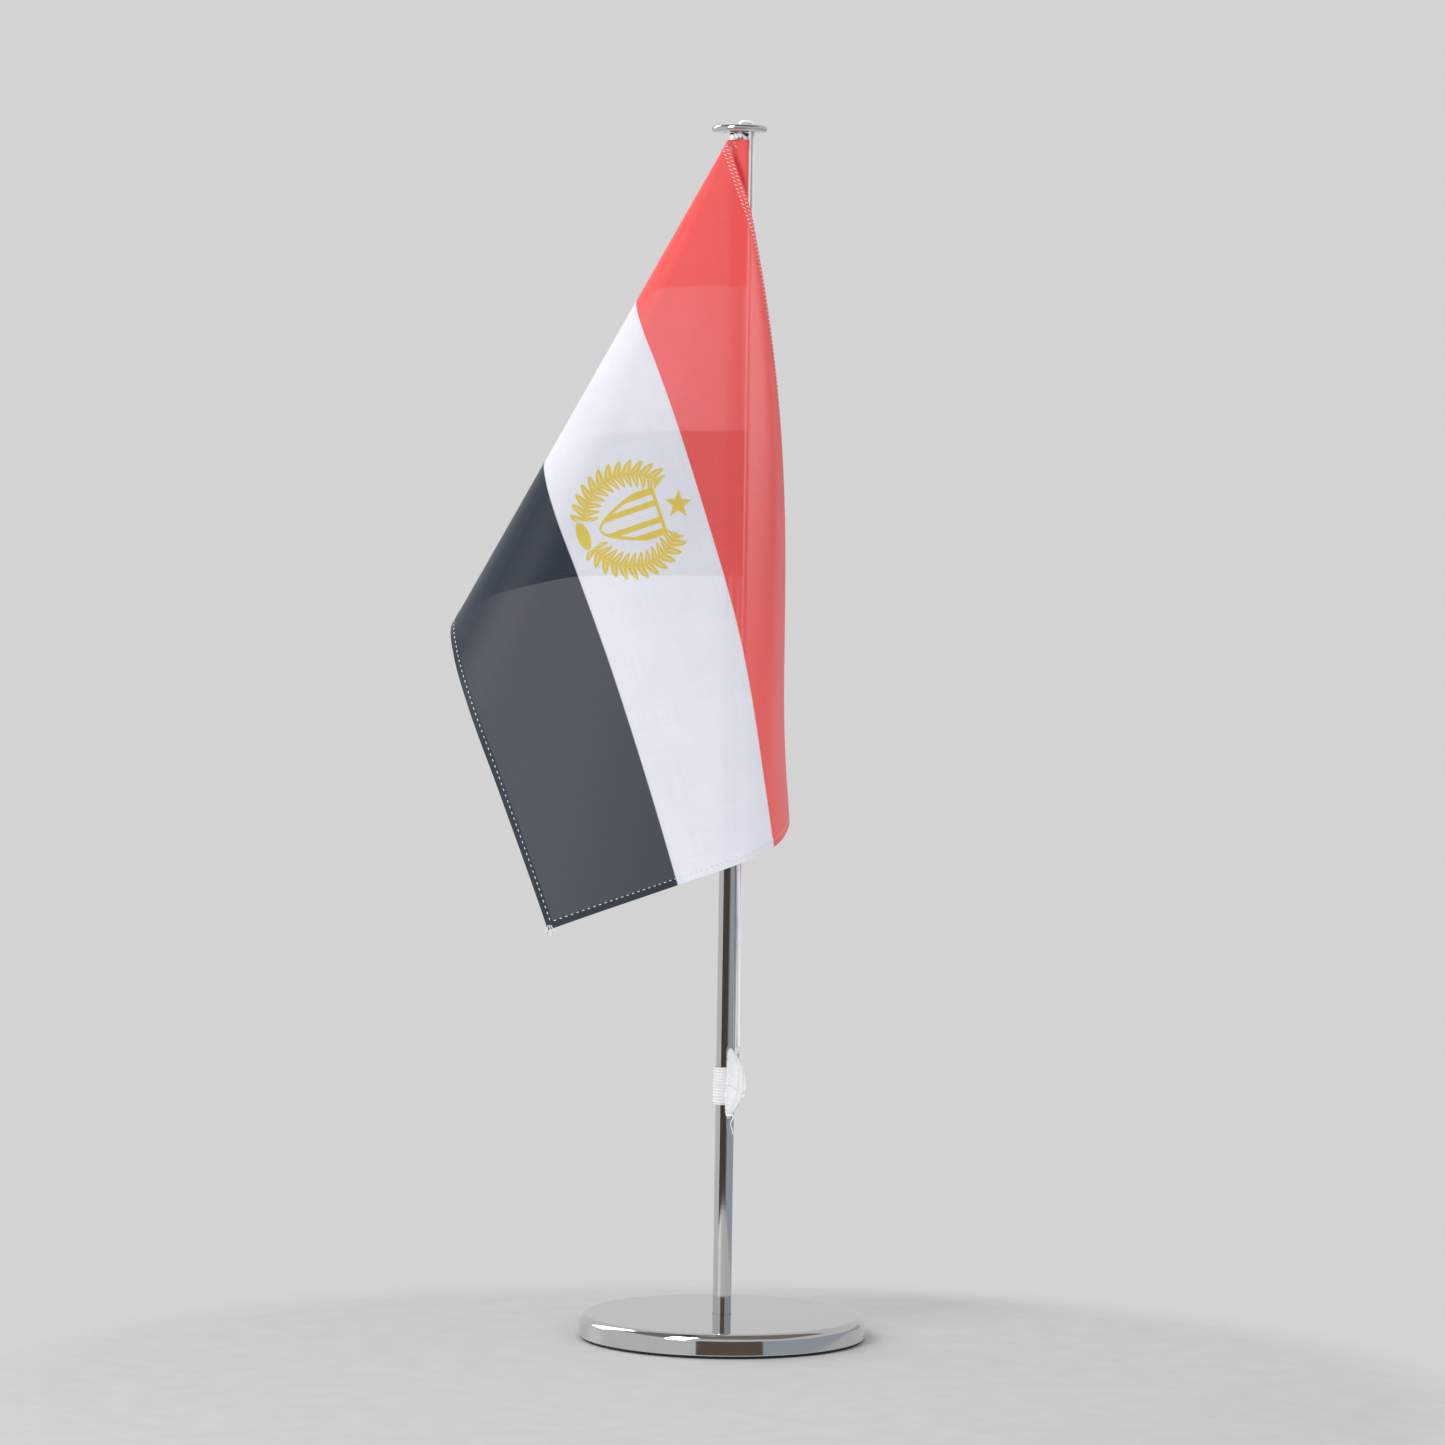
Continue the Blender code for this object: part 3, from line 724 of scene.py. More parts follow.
# The truck screw: a zinc-plated countersunk screw with a cross recess. It is flush with the
# truck's top, and goes through the washer into the insert in the pole.
SCREW_TOP, SCREW_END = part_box("truck_screw")[1].z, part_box("truck_screw")[0].z
SCREW_HEAD = 0.0026
SCREW_SHANK = 0.0015
HEAD_DEPTH = 0.0012


def apply_cut(piece, cutter):
    """Cuts a closed shape out of a piece and removes the cutter."""
    if bpy.context.mode == "EDIT_MESH":
        bpy.ops.object.mode_set(mode="OBJECT")
    cut = piece.modifiers.new("cut", "BOOLEAN")
    cut.object = cutter
    cut.solver = "EXACT"
    bpy.ops.object.select_all(action="DESELECT")
    piece.select_set(True)
    bpy.context.view_layer.objects.active = piece
    bpy.ops.object.modifier_apply(modifier="cut")
    bpy.data.objects.remove(cutter)


screw = start_piece(
    "truck_screw_head",
    "cone",
    vertices=64,
    radius1=SCREW_SHANK,
    radius2=SCREW_HEAD,
    depth=HEAD_DEPTH,
    location=(0, 0, SCREW_TOP - HEAD_DEPTH / 2),
)
pick(screw, faces=lambda middle, normal: normal.z < -FLAT_ON)
push(SCREW_END - (SCREW_TOP - HEAD_DEPTH))
round_rim(screw, SCREW_TOP, SCREW_HEAD, 0.00008, 2)
bpy.ops.object.mode_set(mode="OBJECT")
for quarter in (0, 90):
    bpy.ops.object.select_all(action="DESELECT")
    bpy.ops.mesh.primitive_cube_add(size=1, location=(0, 0, SCREW_TOP))
    slot_cutter = bpy.context.object
    slot_cutter.scale = (0.0030, 0.0006, 0.0016)
    slot_cutter.rotation_euler.z = math.radians(quarter + 20)
    bpy.ops.object.transform_apply(location=True, rotation=True, scale=True)
    apply_cut(screw, slot_cutter)
finish_piece(screw, zinc_steel, "stand", "zinc_steel", "truck_screw")


# The truck: a flat chromed disc with softened edges. The halyard passes up through one of its
# four holes, over the top and down through the next, and the disc turns on its screw.
TRUCK_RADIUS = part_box("truck_disc")[1].x
TRUCK_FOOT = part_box("truck_disc")[0].z
TRUCK_ROUNDING = 0.0011
TRUCK_BORE = 0.00165
TRUCK_SINK = 0.00295
LINE_HOLE_RADIUS = 0.0010
HOLE_CHAMFER = 0.0002

truck = round_blank("chromed_truck", TRUCK_RADIUS, TRUCK_FOOT, TRUCK_TOP, 192)
truck_flat = TRUCK_RADIUS - TRUCK_ROUNDING
for end, facing in ((TRUCK_TOP, 1), (TRUCK_FOOT, -1)):
    round_rim(truck, end, TRUCK_RADIUS, TRUCK_ROUNDING, 8)
    inset_to(truck, end, truck_flat, truck_flat - 0.0003, facing)
inset_to(truck, TRUCK_TOP, truck_flat - 0.0003, TRUCK_SINK)
sink_depth = TRUCK_SINK - TRUCK_BORE
bpy.ops.mesh.inset(thickness=sink_depth, depth=-sink_depth, use_even_offset=False)
sink_floor = TRUCK_TOP - sink_depth
inset_to(truck, TRUCK_FOOT, truck_flat - 0.0003, TRUCK_BORE, facing=-1)
through_hole(truck, TRUCK_BORE, (sink_floor, TRUCK_FOOT))
for number in range(4):
    turn = math.radians(90 * number)
    at = (LINE_HOLE * math.cos(turn), LINE_HOLE * math.sin(turn))
    foot, top = TRUCK_FOOT + HOLE_CHAMFER, TRUCK_TOP - HOLE_CHAMFER
    hole = round_blank("hole_cutter", LINE_HOLE_RADIUS, foot, top, 40, at)
    for facing in (1, -1):
        pick(hole, faces=lambda middle, normal: normal.z * facing > FLAT_ON)
        push(HOLE_CHAMFER * facing)
        bpy.ops.transform.resize(value=(1.2, 1.2, 1.0))
        push(3 * HOLE_CHAMFER * facing)
    apply_cut(truck, hole)
finish_piece(truck, chrome_base, "rigging", "chrome", "truck_disc", smooth_degrees=30)


# The elastic: white ribbed tape passed once round the pole, so that it grips by friction. A line of
# stitching runs round it near the lower edge.
BAND_INNER = 0.0034
BAND_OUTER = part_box("elastic_band")[1].x
BAND_FOOT, BAND_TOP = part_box("elastic_band")[0].z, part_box("elastic_band")[1].z
RIB = 0.00105
SEAM_HEIGHT = 0.0846
SOFT_SURFACE = 70  # degrees: tape and its pleats are smoothed nearly everywhere


def elastic_white():
    """Rubber cores run round the pole, wrapped in fine thread that crosses them, with painted shade in
    the hollows of the knit.
    """
    made, shader = new_material("elastic_white", (0.82, 0.84, 0.86))
    tree = made.node_tree
    put, maths, add = node_maker(tree)
    place = add("ShaderNodeUVMap", {"uv_map": "run"})
    u, v = two_ways(tree, place)
    wraps = maths("SINE", maths("MULTIPLY", u, 2 * math.pi * 64))
    cores = maths("SINE", maths("MULTIPLY", v, 2 * math.pi * 24))
    knit = maths("MULTIPLY", wraps, cores)
    space = own_place(add)
    fluff = noise(add, space, 2400.0, 4.0)
    patches = noise(add, space, 300.0, 3.0)
    # The knit's colour follows its relief: painted shade in its hollows.
    knit_shaded = maths("ADD", maths("MULTIPLY", knit, 0.05), 0.84)
    shade = maths("ADD", maths("MULTIPLY", patches, 0.24), knit_shaded)
    tone = toned(add, (0.86, 0.885, 0.90), shade)
    put(shader.inputs["Base Color"], tone)
    height = maths("ADD", maths("MULTIPLY", knit, 0.5), fluff)
    put(shader.inputs["Normal"], relief(add, height, 0.55, 0.00015))
    set_surface(shader, Roughness=0.8, Sheen_Weight=0.2)
    set_surface(shader, Subsurface_Weight=0.15, Subsurface_Radius=(0.0008, 0.0008, 0.0008))
    return made


def lofted(name, columns, rows, shape, closed_ends=False):
    """A tube from a grid: shape(way round 0..1, way up 0..1) places each point. Its UV map is "run"."""
    bpy.ops.object.select_all(action="DESELECT")
    bpy.ops.mesh.primitive_grid_add(x_subdivisions=columns, y_subdivisions=rows, size=2)
    piece = bpy.context.object
    piece.name = name
    mesh = piece.data
    layer = mesh.uv_layers.active
    layer.name = "run"
    for vertex in mesh.vertices:
        vertex.co = shape((vertex.co.x + 1) / 2, (vertex.co.y + 1) / 2)
    bpy.ops.object.mode_set(mode="EDIT")
    bpy.ops.mesh.select_all(action="SELECT")
    bpy.ops.mesh.remove_doubles(threshold=0.000002)
    if closed_ends:
        bpy.ops.mesh.select_all(action="DESELECT")
        bpy.ops.mesh.select_mode(type="EDGE")
        bpy.ops.mesh.select_non_manifold()
        bpy.ops.mesh.fill_holes(sides=0)
    bpy.ops.mesh.select_all(action="SELECT")
    bpy.ops.mesh.normals_make_consistent(inside=False)
    bpy.ops.object.mode_set(mode="OBJECT")
    return piece


def band_shape(around, up):
    """The band's section, once round: outside from foot to top, then back down the inside."""
    turn = around * 2 * math.pi
    wobble = 0.00008 * math.sin(3 * turn + 0.7) + 0.00005 * math.sin(7 * turn)
    foot, top = BAND_FOOT + 0.0001 + wobble, BAND_TOP - 0.0001 + wobble * 0.6
    if up < 0.8:
        share = up / 0.8
        z = foot + (top - foot) * share
        edge = min(share, 1 - share) * (BAND_TOP - BAND_FOOT)
        rib = 0.00010 * math.cos((z - BAND_FOOT) / RIB * 2 * math.pi)
        seam = 0.00022 * math.exp(-(((z - SEAM_HEIGHT) / 0.00035) ** 2))
        rounding = 0.00030 * math.exp(-edge / 0.0003)
        radius = BAND_OUTER - 0.00015 + rib + seam - rounding + wobble
    else:
        share = (up - 0.8) / 0.2
        z = top + (foot - top) * share
        radius = BAND_INNER + 0.0002 * math.exp(-min(share, 1 - share) / 0.05)
    return Vector((radius * math.cos(turn), radius * math.sin(turn), z))


band = lofted("elastic_tape", 144, 110, band_shape)
elastic_finish = elastic_white()
bpy.ops.object.mode_set(mode="EDIT")
bpy.ops.mesh.select_all(action="DESELECT")
bpy.ops.mesh.select_mode(type="EDGE")
bpy.ops.mesh.select_non_manifold()
bpy.ops.mesh.bridge_edge_loops()
finish_piece(
    band, elastic_finish, "rigging", "white_elastic", "elastic_band", smooth_degrees=SOFT_SURFACE
)


# The gather: the tape's two ends come together beside the band, pleated and sewn into a spindle.
# A short strap of the tape reaches from its upper end to the halyard's knot.
GATHER_SECTIONS = np.array([
    # height, centre x, centre y, half width, half depth
    (0.0771, 0.0012, -0.0056, 0.0002, 0.0002),
    (0.0782, 0.0014, -0.0057, 0.0009, 0.0006),
    (0.0795, 0.0017, -0.0058, 0.0015, 0.0008),
    (0.0812, 0.0023, -0.0058, 0.0021, 0.0010),
    (0.0830, 0.0030, -0.0058, 0.0028, 0.0012),
    (0.0850, 0.0034, -0.0058, 0.0032, 0.0013),
    (0.0868, 0.0036, -0.0057, 0.0034, 0.0013),
    (0.0915, 0.0035, -0.0056, 0.0031, 0.0012),
    (0.0950, 0.0033, -0.0056, 0.0027, 0.0011),
    (0.0975, 0.0027, -0.0056, 0.0020, 0.0010),
    (0.0995, 0.0021, -0.0056, 0.0014, 0.0008),
    (0.1008, 0.0018, -0.0056, 0.0009, 0.0006),
    (0.1015, 0.0017, -0.0056, 0.0002, 0.0002),
])


def gather_shape(around, up):
    """The pleated spindle: its plain section swelled by pleats, a sewn crease and small puckers."""
    heights = GATHER_SECTIONS[:, 0]
    z = heights[0] + (heights[-1] - heights[0]) * up
    x, y, width, depth = (float(np.interp(z, heights, GATHER_SECTIONS[:, k])) for k in range(1, 5))
    turn = around * 2 * math.pi
    full = math.sin(math.pi * up) ** 0.5
    pleat = 0.085 * math.sin(9 * turn + 2.2 * math.sin(5 * up) + 1.0)
    pleat += 0.06 * math.sin(5 * turn - 7 * up)
    crease = -0.16 * math.exp(-(((up - 0.40 - 0.06 * math.sin(turn * 2)) / 0.020) ** 2))
    pucker = 0.03 * math.sin(70 * up + 3 * turn)
    swell = 1.0 + full * (pleat + crease + pucker)
    return Vector((x + width * swell * math.cos(turn), y + depth * swell * math.sin(turn), z))


gather = lofted("elastic_gather_pleats", 96, 130, gather_shape, closed_ends=True)
finish_piece(
    gather, elastic_finish, "rigging", "white_elastic", "elastic_gather", smooth_degrees=SOFT_SURFACE
)

STRAP_POINTS = (
    (0.0020, -0.0058, 0.0996),
    (0.0031, -0.0056, 0.0998),
    (0.0042, -0.0040, 0.0996),
    (0.0048, -0.0018, 0.0992),
)
strap_route = even_route(smooth_route(STRAP_POINTS, 0.0003), 0.0002)


def flat_strap(distance, angles):
    """A flat section, about twice as tall as it is thick."""
    return 0.00030 + 0.00022 * np.abs(np.sin(angles)) ** 2


strap = swept("elastic_strap", strap_route, flat_strap)
hand_over(strap, elastic_finish, "rigging", "white_elastic")


# The knots: the halyard's ends are tied to the elastic in a small hard knot, and a few turns of
# cord hold the flag's top hoist corner under the truck.
def coil_route(centre, along, across, height, turns, spacing=0.00015):
    """A helix round an axis: along is half its length, across and height its half sizes."""
    centre, along, across, height = (Vector(v) for v in (centre, along, across, height))
    points = []
    steps = round(turns * 40)
    for step in range(steps + 1):
        turn = 2 * math.pi * turns * step / steps
        points.append(
            centre + along * (2 * step / steps - 1) + across * math.cos(turn) + height * math.sin(turn)
        )
    return even_route(points, spacing)


knot_cord = fibre_material("knot_cord", (0.93, 0.94, 0.98), 3.0, 40.0, 0.00004)
lower_knot = swept(
    "halyard_end_knot",
    coil_route((0.0048, -0.0008, 0.0982), (0, 0, 0.0011), (0.0004, 0, 0), (0, 0.0013, 0.0003), 3.3),
    twisted(0.0010, 0.0026),
)
top_knot = swept(
    "hoist_corner_knot",
    coil_route(
        (-0.0012, -0.0055, 0.4161), (0.0018, 0, 0.0006), (-0.0001, 0.0005, 0.0), (0, 0, 0.00055), 3.0
    ),
    twisted(0.0012, 0.0026),
)
for knot, node in ((lower_knot, "lower_knot"), (top_knot, "top_knot")):
    hand_over(knot, knot_cord, "rigging", "white_cord", node)


# The binding thread: polyester sewing thread wound round the gather's lower tip. Its cut tail
# hangs down beside the pole.
THREAD_DIAMETER = 0.0004
BOUND_AT = Vector((0.0017, -0.0057, 0.0783))
STEPS_PER_WRAP = 33
WRAP_PITCH = 0.00012
TAIL_BENDS = (
    (0.0012, -0.0012, -0.0009),
    (0.0004, -0.0011, -0.0028),
    (0.0010, -0.0002, -0.0052),
    (0.0013, 0.0002, -0.0067),
)

sewing_thread = fibre_material("sewing_thread", (0.85, 0.86, 0.88), 2.0, 60.0, 0.00002)
bound = []
for step in range(3 * STEPS_PER_WRAP + 1):
    wraps = step / STEPS_PER_WRAP
    turn = math.radians(20) + 2 * math.pi * wraps
    wound = (0.0011 * math.cos(turn), 0.0009 * math.sin(turn), WRAP_PITCH * (wraps - 1.5))
    bound.append(BOUND_AT + Vector(wound))
tail = [bound[-1]] + [BOUND_AT + Vector(bend) for bend in TAIL_BENDS]
thread = swept(
    "binding_thread_wraps",
    even_route(bound + smooth_route(tail, 0.0003)[1:], 0.00012),
    twisted(THREAD_DIAMETER, 0.0009, 2),
    around=10,
)
hand_over(thread, sewing_thread, "rigging", "white_cord", "binding_thread")


# The flag: one layer of thin woven polyester, printed right through in three stripes with a gold
# emblem. Its edges are turned over and stitched, and the hoist edge is rolled round the halyard.
FLAG_FLY = 0.243
SLEEVE_RADIUS = 0.00125
SLEEVE_TURN = 245.0
SLEEVE_LEAVES = 262.0
SLEEVE_STEPS = 14
SLEEVE_LENGTH = SLEEVE_RADIUS * math.radians(SLEEVE_TURN)
HEM = 0.0026
HEM_THICKNESS = 0.0005
CLOTH_SHARE = 0.5  # the single layer's thickness beside the hem's
CELL = 0.001

# The cloth hangs as a cone from a point just above its top hoist corner: each straight ray of the
# flat flag turns sideways and backwards by these angles, near the top and far from it.
APEX = np.array((0.0014, -0.0049, 0.4210))
APEX_ABOVE_CORNER = 0.006
POLE_CLEAR = 0.00435
RAYS = np.array([
    # ray's angle in the flat flag, sideways near and far, backwards near and far, in degrees
    (0.0, -3.5, -0.5, 0.7, 0.7),
    (8.0, 6.5, 7.3, 1.0, 2.3),
    (16.0, 14.5, 14.6, 2.0, 4.6),
    (22.0, 20.2, 20.0, 2.5, 4.8),
    (27.2, 24.2, 23.7, 0.8, 0.8),
    (31.6, 26.8, 26.6, -2.4, -2.4),
    (35.4, 28.0, 28.0, -5.7, -5.7),
    (38.9, 28.6, 28.6, -9.2, -9.2),
    (42.2, 26.9, 26.9, -11.6, -11.6),
    (46.2, 23.7, 23.6, -13.4, -13.4),
    (51.2, 18.5, 18.5, -14.0, -14.0),
    (58.1, 11.5, 11.5, -14.0, -14.0),
    (66.3, 3.6, 3.8, -13.0, -11.5),
    (72.3, -2.5, -1.2, -12.0, -8.4),
    (77.0, -7.3, -3.6, -11.0, -4.8),
    (83.0, -9.5, -4.8, -8.0, 1.4),
    (90.0, -10.3, -5.1, -5.0, 8.4),
])


def eased(value):
    """From 0 to 1 with a soft start and finish."""
    value = np.clip(value, 0.0, 1.0)
    return value * value * (3 - 2 * value)


def through_rays(column, angle):
    """A smooth curve through one column of RAYS, read at angles of the flat flag."""
    knots, values = RAYS[:, 0], RAYS[:, column]
    slopes = np.gradient(values, knots)
    i = np.clip(np.searchsorted(knots, angle) - 1, 0, len(knots) - 2)
    width = knots[i + 1] - knots[i]
    t = (angle - knots[i]) / width
    start = (2 * t**3 - 3 * t**2 + 1) * values[i] + (t**3 - 2 * t**2 + t) * width * slopes[i]
    end = (-2 * t**3 + 3 * t**2) * values[i + 1] + (t**3 - t**2) * width * slopes[i + 1]
    return start + end


def sleeve(share, down):
    """The rolled hoist hem: share 0 is the cloth's cut edge and 1 is where the flag leaves the roll."""
    angle = np.radians(SLEEVE_LEAVES + SLEEVE_TURN * (1 - share))
    return np.stack(
        [
            HOIST_LINE[0] + SLEEVE_RADIUS * np.cos(angle),
            HOIST_LINE[1] + SLEEVE_RADIUS * np.sin(angle),
            HOIST_TOP - down,
        ],
        axis=-1,
    )


def hanging(along, down):
    """Where points of the flat flag hang, so far along the fly and down the hoist."""
    from_apex = down + APEX_ABOVE_CORNER
    ray = np.hypot(along, from_apex)
    angle = np.degrees(np.arctan2(along, from_apex))
    far = eased((ray - 0.040) / 0.190)
    side = np.radians(through_rays(1, angle) * (1 - far) + through_rays(2, angle) * far)
    back = np.radians(through_rays(3, angle) * (1 - far) + through_rays(4, angle) * far)
    level = np.cos(back)
    heading = np.stack([-np.sin(side) * level, np.sin(back), -np.cos(side) * level], axis=-1)
    place = APEX + ray[..., None] * heading
    place[..., 0] += -0.0018 * eased((angle - 12) / 26)
    place = in_front_of(place, (0.0, 0.0), POLE_CLEAR)
    free = eased(along / (0.003 + 0.007 * eased(down / 0.03)))[..., None]
    place = sleeve(np.ones_like(along), down) * (1 - free) + place * free
    return in_front_of(place, HOIST_LINE, SLEEVE_RADIUS)


def in_front_of(places, centre, clear):
    """Cloth that would lie inside that upright round shape lies round the front of it instead."""
    x, y = places[..., 0] - centre[0], places[..., 1] - centre[1]
    front = centre[1] - np.sqrt(np.maximum(clear**2 - x**2, 0.0))
    places[..., 1] = np.where(np.hypot(x, y) < clear, front, places[..., 1])
    return places


def printed_group():
    """The flag's print: the three stripes and the emblem, from places on the flat cloth in mm."""
    group, start, end = new_group(
        "flag_print",
        [("Vector", "NodeSocketVector", None)],
        [("Color", "NodeSocketColor")],
    )
    put, maths, _ = node_maker(group)
    fly, hoist = two_ways(group, start.outputs["Vector"])

    def step(value, edge, soft=0.12):
        """0 below the edge and 1 above it, with an edge as soft as a print's."""
        return maths("MULTIPLY_ADD", maths("SUBTRACT", value, edge), 1 / (2 * soft), 0.5, clamp=True)

    def both(*masks):
        made = masks[0]
        for mask in masks[1:]:
            made = maths("MULTIPLY", made, mask)
        return made

    def either(*masks):
        made = masks[0]
        for mask in masks[1:]:
            made = maths("MAXIMUM", made, mask)
        return made

    def under(value, edge, soft=0.12):
        return maths("SUBTRACT", 1.0, step(value, edge, soft))

    emblem_scale = 1 / 1.12
    x = maths("MULTIPLY", maths("SUBTRACT", fly, 120.0), emblem_scale)
    y = maths("MULTIPLY", maths("SUBTRACT", 75.0, hoist), emblem_scale)
    wide = maths("ABSOLUTE", x)

    # A shield, straight above and drawn in to a point below, with upright bars
    drop = maths("MULTIPLY_ADD", y, 1 / 13.0, 11.5 / 13.0, clamp=True)
    half = maths("MULTIPLY", maths("POWER", drop, 0.55), 7.6)
    inside = maths("SUBTRACT", half, wide)
    shield = both(step(inside, 0.0), under(y, 8.5), step(y, -11.4))
    field = both(step(inside, 1.1), under(y, 7.4))
    bars = step(maths("SINE", maths("MULTIPLY", wide, 2 * math.pi / 3.6)), 0.0, 0.25)
    shield = maths("SUBTRACT", shield, both(field, bars))

    # Two laurel branches, each a row of paired leaves along an arc that starts below the shield
    centre_y = maths("ADD", y, 1.0)
    reach = maths("SQRT", maths("ADD", maths("MULTIPLY", x, x), maths("MULTIPLY", centre_y, centre_y)))
    turn = maths("ARCTAN2", wide, maths("MULTIPLY", centre_y, -1.0))
    offset = maths("SUBTRACT", reach, 14.4)
    spread = maths("ABSOLUTE", offset)
    along_branch = maths("SUBTRACT", maths("MULTIPLY", turn, 5.4), maths("MULTIPLY", spread, 0.16))
    leaf = maths("FRACT", along_branch)
    leaf_round = maths("POWER", maths("SINE", maths("MULTIPLY", leaf, math.pi)), 0.75)
    leaf_width = maths("MULTIPLY", leaf_round, 4.3)
    leaves = both(under(spread, leaf_width), step(spread, 0.35))
    vein = under(maths("ABSOLUTE", maths("SUBTRACT", leaf, 0.5)), 0.04, 0.02)
    leaves = both(leaves, maths("SUBTRACT", 1.0, both(vein, under(spread, 3.0))))
    stem = under(spread, 0.42)
    branches = both(either(leaves, stem), step(turn, 0.30, 0.02), under(turn, 2.55, 0.02))

    # A five-pointed star above the shield and a plain tie where the branches cross
    star_y = maths("SUBTRACT", y, 14.6)
    star_reach = maths("SQRT", maths("ADD", maths("MULTIPLY", x, x), maths("MULTIPLY", star_y, star_y)))
    fifth = 2 * math.pi / 5
    star_turn = maths("ARCTAN2", wide, star_y)
    fold = maths("PINGPONG", star_turn, fifth / 2)
    tip_y, notch = 4.6, 1.9
    notch_x, notch_y = notch * math.sin(fifth / 2), notch * math.cos(fifth / 2)
    point_x = maths("MULTIPLY", star_reach, maths("SINE", fold))
    point_y = maths("MULTIPLY", star_reach, maths("COSINE", fold))
    edge_length = math.hypot(notch_x, tip_y - notch_y)
    from_tip = maths("MULTIPLY", maths("SUBTRACT", point_y, tip_y), notch_x / edge_length)
    sideways = maths("MULTIPLY", point_x, (tip_y - notch_y) / edge_length)
    star = under(maths("ADD", sideways, from_tip), 0.0)
    tie_x, tie_y = maths("MULTIPLY", x, 1 / 4.4), maths("MULTIPLY", maths("ADD", y, 16.6), 1 / 1.9)
    tie = under(maths("ADD", maths("MULTIPLY", tie_x, tie_x), maths("MULTIPLY", tie_y, tie_y)), 1.0, 0.1)
    emblem = either(shield, branches, star, tie)

    def blended(factor, below, above):
        node = group.nodes.new("ShaderNodeMix")
        node.data_type = "RGBA"
        put(node.inputs[0], factor)
        put(node.inputs[6], below)
        put(node.inputs[7], above)
        return node.outputs[2]

    red, white, black = (0.93, 0.145, 0.140, 1), (0.87, 0.89, 0.96, 1), (0.018, 0.034, 0.060, 1)
    gold = (0.84, 0.69, 0.13, 1)
    colour = blended(step(hoist, 50.0, 0.15), red, white)
    colour = blended(step(hoist, 100.0, 0.15), colour, black)
    colour = blended(emblem, colour, gold)
    put(end.inputs["Color"], colour)
    return group


COVER = {"red": 0.54, "white": 0.60, "black": 0.67, "hem": 0.82}  # the share that isn't gaps
STRIPE = FLAG_HOIST * 1000 / 3


def cloth_cover(tree, place):
    """How closely the cloth hides what is behind it: least in the red stripe and most in the hems."""
    _, maths, _ = node_maker(tree)
    fly, hoist = two_ways(tree, place)

    def past(value, edge):
        return maths("MULTIPLY_ADD", maths("SUBTRACT", value, edge), 4.0, 0.5, clamp=True)

    cover = maths("MULTIPLY_ADD", past(hoist, STRIPE), COVER["white"] - COVER["red"], COVER["red"])
    cover = maths("MULTIPLY_ADD", past(hoist, 2 * STRIPE), COVER["black"] - COVER["white"], cover)
    inside = maths("MULTIPLY", past(hoist, HEM * 1000), past(fly, 3.6))
    inside = maths("MULTIPLY", inside, maths("SUBTRACT", 1.0, past(hoist, (FLAG_HOIST - HEM) * 1000)))
    inside = maths("MULTIPLY", inside, maths("SUBTRACT", 1.0, past(fly, (FLAG_FLY - HEM) * 1000)))
    hem = maths("SUBTRACT", 1.0, inside)
    return maths("MAXIMUM", cover, maths("MULTIPLY", hem, COVER["hem"]))


def weave_group():
    """Plain weave: threads over and under each other, with slubs and a little fluff, and painted shade
    where the threads dip under.
    """
    group, start, end = new_group(
        "plain_weave",
        [("Vector", "NodeSocketVector", None), ("Threads", "NodeSocketFloat", 3.0)],
        [("Height", "NodeSocketFloat"), ("Shade", "NodeSocketFloat")],
    )
    put, maths, add = node_maker(group)
    fly, hoist = two_ways(group, start.outputs["Vector"])
    pitch = maths("MULTIPLY", start.outputs["Threads"], math.pi)
    warp = maths("SINE", maths("MULTIPLY", fly, pitch))
    weft = maths("SINE", maths("MULTIPLY", hoist, pitch))
    crossing = maths("MULTIPLY", warp, weft)
    warp_place = add("ShaderNodeMapping", Vector=start.outputs["Vector"], Scale=(0.05, 2.0, 1.0))
    weft_place = add("ShaderNodeMapping", Vector=start.outputs["Vector"], Scale=(2.0, 0.05, 1.0))
    slubs = maths("ADD", noise(add, warp_place, 1.0, 2.0), noise(add, weft_place, 1.0, 2.0))
    cloud = noise(add, start.outputs["Vector"], 0.06, 2.0)
    height = maths("ADD", maths("MULTIPLY", crossing, 0.5), maths("MULTIPLY", slubs, 0.5))
    # The crossing darkens the colour where the threads dip under: painted shade.
    shade = maths("MULTIPLY_ADD", crossing, 0.035, 0.86)
    shade = maths("ADD", shade, maths("MULTIPLY", slubs, 0.10))
    put(end.inputs["Height"], height)
    put(end.inputs["Shade"], maths("ADD", shade, maths("MULTIPLY", cloud, 0.06)))
    return group


flag_print = printed_group()
plain_weave = weave_group()
UV_SPAN = 0.25


